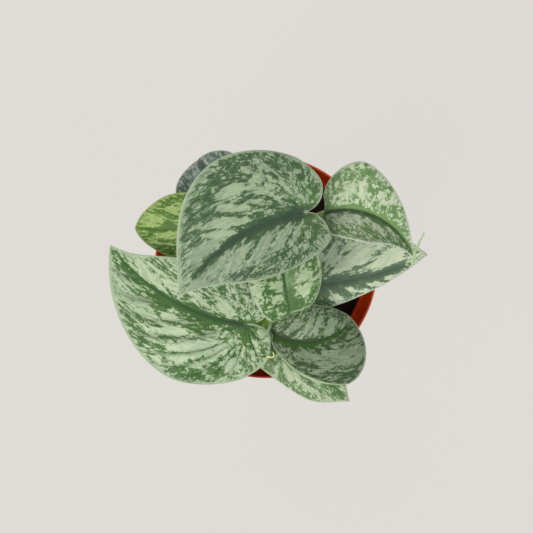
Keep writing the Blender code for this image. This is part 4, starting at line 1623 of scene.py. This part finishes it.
LEAF_LIST = (
    Leaf(
        "leaf_top", SILVER, (20.2, 27.6, 182.0), 190.0, 48.0, 4.0, -22.0, 81.0,
        HalfBlade(26.5, 0.27, 10.0, 13.5, 12.0, -30.0, 0.50, 26.0, slant=0.45, sweep=2.0),
        HalfBlade(40.8, 0.34, 10.5, 12.0, 10.0, -34.0, 0.38, 31.0, shoulder=0.39, slant=0.4, sweep=1.6),
        Marking(
            cover=-0.08, band_left=5.4, band_right=4.8, band_end=0.8, band_stop=0.9, rib_left=3.4,
            rib_right=3.4, tone_and_painted_shade_left=0.91, hem=2.0, line_left=0.6, line_right=0.35,
            left=(
                (64, 10, 3, 7, -0.8), (69.5, 12, 0.7, 8, 0.9), (75, 13.5, 3, 7, -1.1),
                (79.5, 16, 0.6, 5, 0.6), (83.5, 17, 3.4, 8, -1.1), (89, 14, 1.6, 6, 0.9),
                (94.5, 15, 3.6, 8, -1.1), (103, 12, 3, 7, -0.9), (110, 8, 4, 5, -0.8),
                (116, 3, 4, 4, -0.7), (83, 33, 7, 4, 0.5), (67, 25, 4, 3.5, 0.8), (61, 31, 3, 2.5, -0.6),
                (48, 26, 4, 2, 0.8), (50, 13, 5, 3, 0.5), (22, 11, 6, 3, 0.7), (12, 6, 5, 4, -0.4),
                (24, 16, 4, 2.5, -0.5),
            ),
            right=(
                (87, 10, 1.5, 3.5, 0.8), (77.5, 19, 0.8, 2.5, 0.7), (77.5, 29, 2.6, 5, -0.7),
                (69, 26, 2.6, 3, 0.8), (58.5, 31, 2, 4, 0.6), (55.5, 25, 2, 3, 0.5),
                (60.5, 40, 4, 3, 0.5), (69, 39, 2, 3, 0.6), (65, 32, 3, 5, -0.5), (74.5, 42, 2, 3, 0.6),
                (81.5, 36, 2.6, 2.4, 0.9), (81.3, 34, 1, 1.2, -0.8), (79.2, 31.5, 2.5, 1, 0.8),
                (88, 42.5, 3, 3, 0.7), (91, 32.5, 3.2, 5.5, -1), (91.5, 41, 2.5, 2.5, 0.7),
                (90, 27, 1.5, 1.2, 0.8), (92.8, 24, 0.8, 4, 0.9), (91.6, 17, 1.2, 4.5, 1.2),
                (94.5, 11, 2.4, 3, 1), (88.3, 20.5, 1.8, 5, -0.7), (95, 17, 1, 3, -0.8),
                (96.8, 21, 0.8, 3.5, 1), (99.3, 24, 1.8, 6, -0.8), (99.8, 30, 2.2, 1.5, 0.8),
                (102.5, 18.5, 0.9, 7, 1.2), (106.6, 16, 2.6, 7, -1.2), (103.2, 26, 2.5, 2, 0.9),
                (109.7, 17, 1, 4, 0.9), (112, 11.5, 1.6, 5, -0.9), (95.5, 38, 3, 2.5, 0.6),
                (108.2, 7.5, 0.8, 2.5, 0.7), (118, 9, 5, 7, -0.9), (116.5, 8, 0.8, 1, 0.9),
                (71, 15, 5, 4, -0.5), (130, 4, 7, 6, -0.6), (114, 16, 1.6, 4, 0.9),
                (109, 26, 1.4, 2, 0.8), (103, 38, 1.8, 3, 0.8), (78.5, 42, 2, 3, 0.7),
            ),
        ),
        SatinLeaf(
            3.0, (157, 177, 142), (131, 150, 124), (73, 104, 63), (51, 77, 48), margin=(184, 203, 168),
        ),
    ),
    Leaf(
        "leaf_south_west", SILVER, (-9.8, -29.7, 150.0), 173.0, -46.0, 2.0, -8.0, 84.5,
        HalfBlade(
            38.0, 0.31, 13.5, 15.0, 8.0, -26.0, 0.23, 45.0, shoulder=0.37, wave=1.0, quilt=1.2,
            vein_gap=10.2, slant=0.85, square=1.0,
        ),
        HalfBlade(25.0, 0.30, 11.0, 12.0, 30.0, -20.0, 0.60, 26.0, slant=1.1),
        Marking(
            cover=-0.1, band_left=5.0, band_right=2.5, fresh_left=0.4, fresh_right=0.2, rib_right=1.5,
            tone_and_painted_shade_left=0.91, tone_and_painted_shade_right=0.95, fringe=0.08, hem=1.3, line_left=0.5,
            left=(
                (14, 9, 6, 4.5, -0.6), (27, 9, 5, 4, -0.4), (114.8, 14, 1.4, 4.5, -0.9),
                (112.3, 21, 1, 3, 0.6), (106.6, 26, 1.8, 9, -1.1), (108.8, 27, 0.5, 2.5, 1),
                (104.8, 15, 2, 3.5, 0.9), (103.1, 30, 0.6, 7, 0.7), (96.1, 30, 2.4, 10, -1),
                (92.5, 33, 0.6, 8, 1), (88.6, 33, 2, 9, -1.1), (84.3, 33, 1, 2.5, 0.9),
                (76.3, 40, 4, 3, 0.8), (78.4, 34.5, 1.6, 2.5, -0.7), (69.5, 36, 2.5, 2.5, 0.6),
                (66.5, 28.5, 3.5, 2, 0.9), (71.5, 16.5, 2, 4, 1.1), (83.4, 19, 5, 5, -0.8),
                (51.5, 23, 9, 4, -0.6), (51.5, 6, 25, 4, 0.6), (57.5, 17, 1.6, 2.5, 0.9),
                (47.5, 20, 1.4, 2, 0.8), (57.5, 30, 3, 2.5, 0.5), (122.3, 24, 3, 5, -0.6),
                (126.3, 12.5, 2, 3, 1), (127.8, 18, 2.6, 3.5, -0.7), (133.8, 6, 3, 3, 1),
                (114.8, 31, 5, 1.3, 0.7), (114.8, 26, 2.2, 3, -0.6), (105.8, 40, 2.5, 3, 0.6),
                (96.5, 42.5, 1.4, 2, 1), (99, 49, 3, 3, 0.4), (121.8, 6, 4, 5, 0.6),
                (108.8, 8, 4, 5, 0.5),
            ),
            right=(
                (90, 11, 1.8, 5, -0.8), (85.5, 15, 1.4, 3, 1), (96, 6, 2.5, 4, 0.9),
                (82.5, 5.5, 1.4, 4, -1), (85.4, 5, 0.8, 2.5, 0.8), (71.5, 21, 1.6, 2.5, 0.7),
                (78, 14, 2.4, 5, -0.7), (66, 16, 3.6, 4, -0.5), (45, 15, 3, 5, 0.6),
                (109, 8, 4, 6, -0.55), (112.5, 7, 0.8, 2, 1), (97, 25, 5, 3, 0.6), (101, 13, 3, 7, -0.4),
                (103, 7, 0.9, 3, 0.9), (55, 7, 10, 3, 0.4),
            ),
        ),
        SatinLeaf(
            21.0, (188, 205, 170), (164, 186, 150), (80, 118, 60), (60, 96, 46), fresh=(92, 138, 70),
        ),
    ),
    Leaf(
        "leaf_east_upper", SILVER, (29.1, 27.9, 168.0), 16.0, -88.0, 8.0, -28.0, 60.0,
        HalfBlade(25.6, 0.28, -2.0, 6.0, 12.0, -34.0, 0.14, 5.0, shoulder=0.35, slant=-0.1, sweep=0.2),
        HalfBlade(16.0, 0.36, 2.0, 9.0, 25.0, -20.0, 0.40, 20.0, slant=0.9, sweep=0.6),
        Marking(
            cover=-0.12, band_left=2.2, band_right=3.2, band_end=0.6, fresh_left=1.0, rib_left=0.4,
            rib_right=3.6, tone_and_painted_shade_right=0.68, line_right=0.8,
            left=(
                (26.5, 9.5, 3, 4.5, -0.7), (34, 12, 2.2, 4.5, -0.7), (45, 10, 2.6, 4, -0.7),
                (31.2, 12.5, 0.6, 3, 1), (36.6, 13, 0.6, 2.6, 1), (39.6, 11.5, 0.9, 1.4, 1),
                (26.5, 17, 1.8, 3.5, 0.8), (22, 13, 1.8, 2.6, 0.9), (17.5, 8, 2.2, 2.6, 0.8),
                (46.6, 13, 0.6, 3.5, 0.9), (42, 6.5, 1.4, 2.6, 1), (49, 5.5, 2, 1.6, 0.6),
                (15, 4, 2, 1, -0.7), (19.6, 11, 0.8, 2, -0.6), (28, 22, 3, 2.5, -0.4),
                (33.8, 3.6, 1, 1.6, 0.7), (53, 7, 1.4, 1.2, 0.8), (54, 4.5, 0.8, 0.8, -0.8),
                (33, 20.5, 0.6, 3, 0.8), (35.5, 19, 0.6, 2.5, 0.8), (38.6, 17.5, 0.6, 2.5, 0.8),
                (43, 16, 0.6, 2.5, 0.7), (50.5, 10.5, 2.4, 3, -0.4),
            ),
            right=(
                (38, 7, 6, 3, -0.7), (25, 9, 2.4, 2.4, 0.9), (30.5, 12.4, 1, 1, -0.9),
                (34.5, 13, 2, 2, 0.9), (42, 11, 1, 1, 0.8), (48.5, 9, 1, 1, 0.9), (50, 12.8, 3, 2.2, 1),
                (54, 7.6, 1.8, 2.6, -0.8), (54, 3.6, 1.2, 1.6, 0.9), (57.4, 5.2, 0.8, 2.2, 1),
                (61.5, 7.6, 1.2, 2, 1), (60.4, 3.2, 1.6, 1.6, -0.8), (44, 14, 1.4, 1.6, 0.6),
                (56.6, 10, 1.6, 1.4, -0.5), (20, 13, 4, 3, 0.5), (65, 4, 2, 2, -0.5),
                (46, 6, 2.4, 3, -0.6),
            ),
        ),
        SatinLeaf(
            34.0, (198, 211, 178), (178, 194, 162), (114, 147, 94), (94, 128, 76), fresh=(116, 152, 78),
            margin=(198, 212, 180), size=0.75,
        ),
    ),
    Leaf(
        "leaf_centre_small", SILVER, (12.9, -23.8, 160.0), 103.0, -14.0, 12.0, 0.0, 50.0,
        HalfBlade(19.0, 0.38, 2.0, 10.0, 15.0, -25.0, 0.60, 36.0, shoulder=0.40, slant=0.0, sweep=0.1),
        HalfBlade(19.5, 0.42, -1.0, 8.0, 15.0, -25.0, 0.60, 36.0, shoulder=0.45, slant=0.4, sweep=0.4),
        Marking(
            cover=-0.06, band_left=1.8, band_right=4.2, band_end=0.9, fresh_right=1.0, fresh_from=0.3,
            rib_left=1.8, rib_right=0.4, flush=0.0, line_left=0.5, line_right=0.5,
            left=(
                (24.5, 5.5, 2.2, 3.5, -0.8), (28, 15, 6, 3, -0.8), (28.5, 10.5, 1.8, 1.8, 1.2),
                (27, 5, 0.7, 3, 0.9), (31, 4.5, 2.4, 3, -0.7), (12, 4, 5, 4, 0.8), (20.5, 12, 2, 2, 0.8),
                (10, 5, 12, 4, 0.5),
            ),
            right=(
                (8, 4, 10, 5, 1.3), (31, 11, 2.4, 5, -0.9), (37.5, 12, 2.6, 5, -0.8),
                (24.5, 13, 1.4, 2.5, 0.8), (21.5, 5, 2, 4, 0.7), (39, 18, 2, 2, 0.7),
                (34, 10.5, 0.6, 3, 0.6), (26.5, 10, 1.4, 2.5, -0.6),
            ),
        ),
        SatinLeaf(
            47.0, (184, 203, 164), (168, 188, 148), (86, 122, 64), (66, 102, 46), fresh=(118, 159, 102),
        ),
    ),
    Leaf(
        "leaf_east_lower", SILVER, (27.3, -9.1, 134.0), 5.0, 20.0, 0.0, -14.0, 61.3,
        HalfBlade(26.1, 0.35, 8.0, 12.0, 12.0, -24.0, 0.65, 58.0, slant=1.15),
        HalfBlade(13.8, 0.06, 4.0, 9.0, 0.0, -30.0, 0.02, 14.0, slant=0.6, sweep=0.5),
        Marking(
            cover=-0.22, band_left=7.0, band_right=7.5, band_end=0.25, band_stop=0.8, rib_left=3.6,
            rib_right=3.2, calm=0.34, tone_and_painted_shade_left=1.05, tone_and_painted_shade_right=1.05, line_left=0.5, line_right=0.5,
            left=(
                (77, 15, 3.6, 7, -1.2), (76.5, 26, 3.4, 6, -1.1), (71, 10, 3, 4.5, 1.1),
                (69.2, 21, 0.9, 9, 1.1), (84.6, 17, 1, 7, 1.1), (89.6, 9, 3.4, 5.5, -1.2),
                (88, 21, 2.4, 4, -0.6), (78.6, 29, 1, 1.8, 1), (92.4, 17.5, 0.9, 2, 0.9),
                (81.2, 11, 0.8, 1, 0.9), (59.5, 24, 1.4, 2.4, 0.9), (62, 27, 2.4, 2, -0.6),
                (64.5, 17, 1.8, 7, -0.7), (41.5, 18, 2.6, 3.4, 1), (44, 10.4, 2.6, 1.5, 0.9),
                (49.5, 18.5, 3.4, 4, -0.8), (33, 14, 3, 4, -0.5), (53, 12, 4, 3, -0.6),
                (96.5, 6, 1, 1.6, 0.8), (94.6, 11, 1, 1.6, 0.7),
            ),
            right=(
                (29, 10, 3, 2.6, -1.2), (38.5, 7, 1.6, 2, -1), (43, 9, 1.6, 2, -1), (49, 6.5, 3, 1.8, -1),
                (58, 5, 5, 1.6, -0.9), (34, 8, 1.5, 3.5, 1.1), (20, 8, 5, 5, 0.9), (46, 8, 0.9, 2.5, 0.8),
                (53, 5, 1, 2, 0.7),
            ),
        ),
        SatinLeaf(
            58.0, (211, 223, 191), (192, 206, 176), (108, 133, 100), (86, 110, 83), rib=(74, 96, 76),
        ),
    ),
    Leaf(
        "leaf_south_upper", SILVER, (2.1, -34.0, 146.0), -34.0, 90.0, -2.0, -20.0, 52.0,
        HalfBlade(19.8, 0.53, 4.0, 10.0, 20.0, -30.0, 0.33, 88.0, slant=0.4, sweep=0.8),
        HalfBlade(26.6, 0.63, -2.4, 3.0, 12.0, -30.0, 0.49, 52.0, shoulder=0.06, slant=1.0, sweep=0.0),
        Marking(
            cover=-0.04, band_left=2.0, band_right=3.4, fresh_right=0.9, rib_left=2.8, rib_right=0.6,
            tone_and_painted_shade_left=1.08, tone_and_painted_shade_right=0.8, fringe=0.12, line_left=0.6, line_right=0.7,
            left=(
                (40, 10, 2.6, 5, -0.7), (51.5, 11, 2.4, 5, -0.8), (57, 12, 2, 5, -0.7),
                (66, 7, 3, 3.5, -0.8), (35.5, 10, 0.9, 4, 0.6), (61.5, 8, 1.2, 5, 0.8),
                (54.5, 15, 0.8, 4, 0.6),
            ),
            right=(
                (54.6, 8, 0.6, 4, 1.2), (58.4, 6, 0.6, 3, 1.1), (40.5, 11, 1.6, 5, 0.6),
                (46, 15, 1.2, 3, 0.6), (57.5, 16, 3.4, 7, -0.8), (51.5, 10, 2.4, 4, -0.6),
                (45, 24, 3.5, 6, 0.2), (40, 21, 8, 4, -0.15),
            ),
        ),
        SatinLeaf(
            69.0, (150, 167, 133), (130, 147, 118), (68, 96, 52), (50, 76, 40), rib=(34, 56, 28),
            fresh=(58, 106, 26), margin=(180, 200, 162),
        ),
        tip_drop=-25.0,
    ),
    Leaf(
        "leaf_south_lower", SILVER, (6.4, -42.0, 124.0), -29.0, -18.0, 0.0, -12.0, 49.0,
        HalfBlade(15.0, 0.40, 8.0, 10.0, 12.0, -24.0, 0.45, 26.0),
        HalfBlade(16.5, 0.32, 9.0, 12.0, 8.0, -30.0, 0.65, 44.0, slant=0.9, sweep=1.0),
        Marking(
            cover=0.0, band_left=3.0, band_right=3.0,
            right=(
                (51, 15, 3.4, 5, -0.8), (63, 17, 5, 3, -0.7), (70, 14, 3, 2.4, -0.8), (63, 11, 3, 2, 0.8),
                (37, 14, 3, 3, -0.6), (44, 15, 1.4, 4, 0.6),
            ),
        ),
        SatinLeaf(77.0, (200, 213, 180), (184, 200, 164), (106, 138, 86), (92, 126, 72)),
    ),
    Leaf(
        "leaf_west_young", YOUNG, (-20.8, 20.1, 146.0), 181.0, -2.0, -4.0, -16.0, 54.0,
        HalfBlade(17.0, 0.38, 8.0, 10.0, 10.0, -30.0, 0.30, 36.0),
        HalfBlade(19.3, 0.40, 8.0, 10.0, 10.0, -30.0, 0.42, 45.0),
        Marking(
            band_left=4.0, band_right=4.0, tone_and_painted_shade_left=0.94, tone_and_painted_shade_right=0.94,
            left=(
                (69, 4, 4, 2, -0.8), (66, 10.5, 5, 1.2, 0.8), (67, 7, 4, 1.2, -0.7),
                (72.5, 5, 1.2, 2, 0.7), (62, 13, 5, 1.4, -0.6), (59, 18, 4, 2.5, 0.6),
            ),
            right=(
                (77, 5, 3, 6, -0.8), (65, 15, 2, 2.5, -0.9), (73, 9, 1.4, 4, -0.8),
                (58.5, 18, 2, 3, -0.8), (56, 24, 4, 2.5, 0.5), (67.5, 12, 1.4, 4, 0.7),
                (70, 3, 6, 3.5, 0.7),
            ),
        ),
        SatinLeaf(
            85.0, (170, 193, 124), (144, 173, 96), (88, 127, 44), (68, 108, 30), rib=(80, 120, 44),
            margin=(160, 182, 104),
        ),
        tip_drop=-40.0,
    ),
    Leaf(
        "leaf_north_old", OLD, (-8.4, 28.7, 136.0), 138.0, -6.0, 0.0, -40.0, 49.0,
        HalfBlade(23.0, 0.60, 2.0, 6.0, 10.0, -30.0, 0.65, 62.0, shoulder=0.25),
        HalfBlade(17.0, 0.50, 6.0, 10.0, 10.0, -30.0, 0.50, 46.0),
        Marking(cover=-0.08, band_left=4.0, band_right=4.0, calm=0.1, fringe=0.1),
        # Its dull grey-green colours are partly the leaf's own and partly painted shade, for a leaf lying
        # low under leaf_top.
        SatinLeaf(
            93.0, (158, 167, 157), (134, 146, 137), (76, 98, 84), (60, 81, 72), rib=(60, 80, 70),
            margin=(120, 142, 124), size=0.7,
        ),
        tip_drop=-40.0,
    ),
)
LEAVES = {leaf.name: leaf for leaf in LEAF_LIST}

VINES = (
    Vine(
        "stem_north_east", (21.0, 23.0), (22.0, 26.0, 150.0),
        (
            Stalk("leaf_top", 0.97, (0.0, 0.0, 14.0), 12.0),
            Stalk("leaf_east_upper", 0.62, (3.0, 1.0, 12.0), 12.0),
        ),
    ),
    Vine(
        "stem_north_west", (-9.0, 16.0), (-10.0, 17.0, 118.0),
        (
            Stalk("leaf_west_young", 0.97, (-1.0, 0.0, 12.0), 9.0),
            Stalk("leaf_north_old", 0.55, (1.0, 4.0, 9.0), 9.0),
        ),
    ),
    Vine(
        "stem_middle", (7.0, -6.0), (9.0, -9.0, 128.0),
        (
            Stalk("leaf_centre_small", 0.97, (0.0, -1.0, 12.0), 9.0),
            Stalk("leaf_east_lower", 0.50, (5.0, 1.0, 9.0), 10.0),
        ),
    ),
    Vine(
        "stem_south", (-5.0, -31.0), (-4.0, -32.0, 124.0),
        (
            Stalk("leaf_south_west", 0.97, (2.0, 0.0, 14.0), 8.0),
            Stalk("leaf_south_upper", 0.70, (1.0, -1.0, 10.0), 9.0),
            Stalk("leaf_south_lower", 0.25, (2.0, -2.0, 8.0), 8.0),
        ),
    ),
)

STRANDS = (
    Strand(
        "drip_tip", ((75.2, 1.0, 160.8), (75.0, 5.6, 162.6), (77.4, 10.0, 163.4), (80.8, 17.2, 166.4)),
        0.95, 0.4,
        TenderSkin("drip_skin", (178, 204, 154), (150, 180, 124)),
        SILVER,
    ),
    Strand(
        "stalk_fold",
        ((-4.0, -32.0, 124.0), (-2.6, -31.0, 134.0), (0.2, -29.6, 139.0), (3.0, -27.0, 144.0)), 2.6, 2.1,
        TenderSkin("fold_skin", (156, 200, 76), (116, 164, 50)),
        "stem_green",
    ),
    Strand(
        "stalk_sheath",
        ((-4.0, -32.0, 124.0), (6.0, -22.0, 142.0), (3.6, -27.0, 150.0), (0.6, -34.4, 150.4)), 1.2, 0.8,
        TenderSkin("sheath_skin", (152, 174, 128), (132, 156, 106)),
        "stem_green",
    ),
    Strand(
        "sheath_hook",
        ((0.3, -46.3, 151.3), (1.8, -47.2, 151.5), (5.6, -47.5, 151.4), (3.5, -44.4, 151.0)), 0.48, 0.3,
        TenderSkin("hook_skin", (232, 240, 156), (212, 220, 134)),
        "stem_green",
    ),
)


def main() -> None:
    """Build the studio and every piece of the plant."""
    logging.basicConfig(level=logging.INFO, format="%(message)s")
    Studio().build()
    pot = NurseryPot()
    pot.build()
    SoilBed(pot).build()
    for vine in VINES:
        vine.build()
    for leaf in LEAF_LIST:
        leaf.build()
    for strand in STRANDS:
        strand.build()


if __name__ == "__main__":
    main()
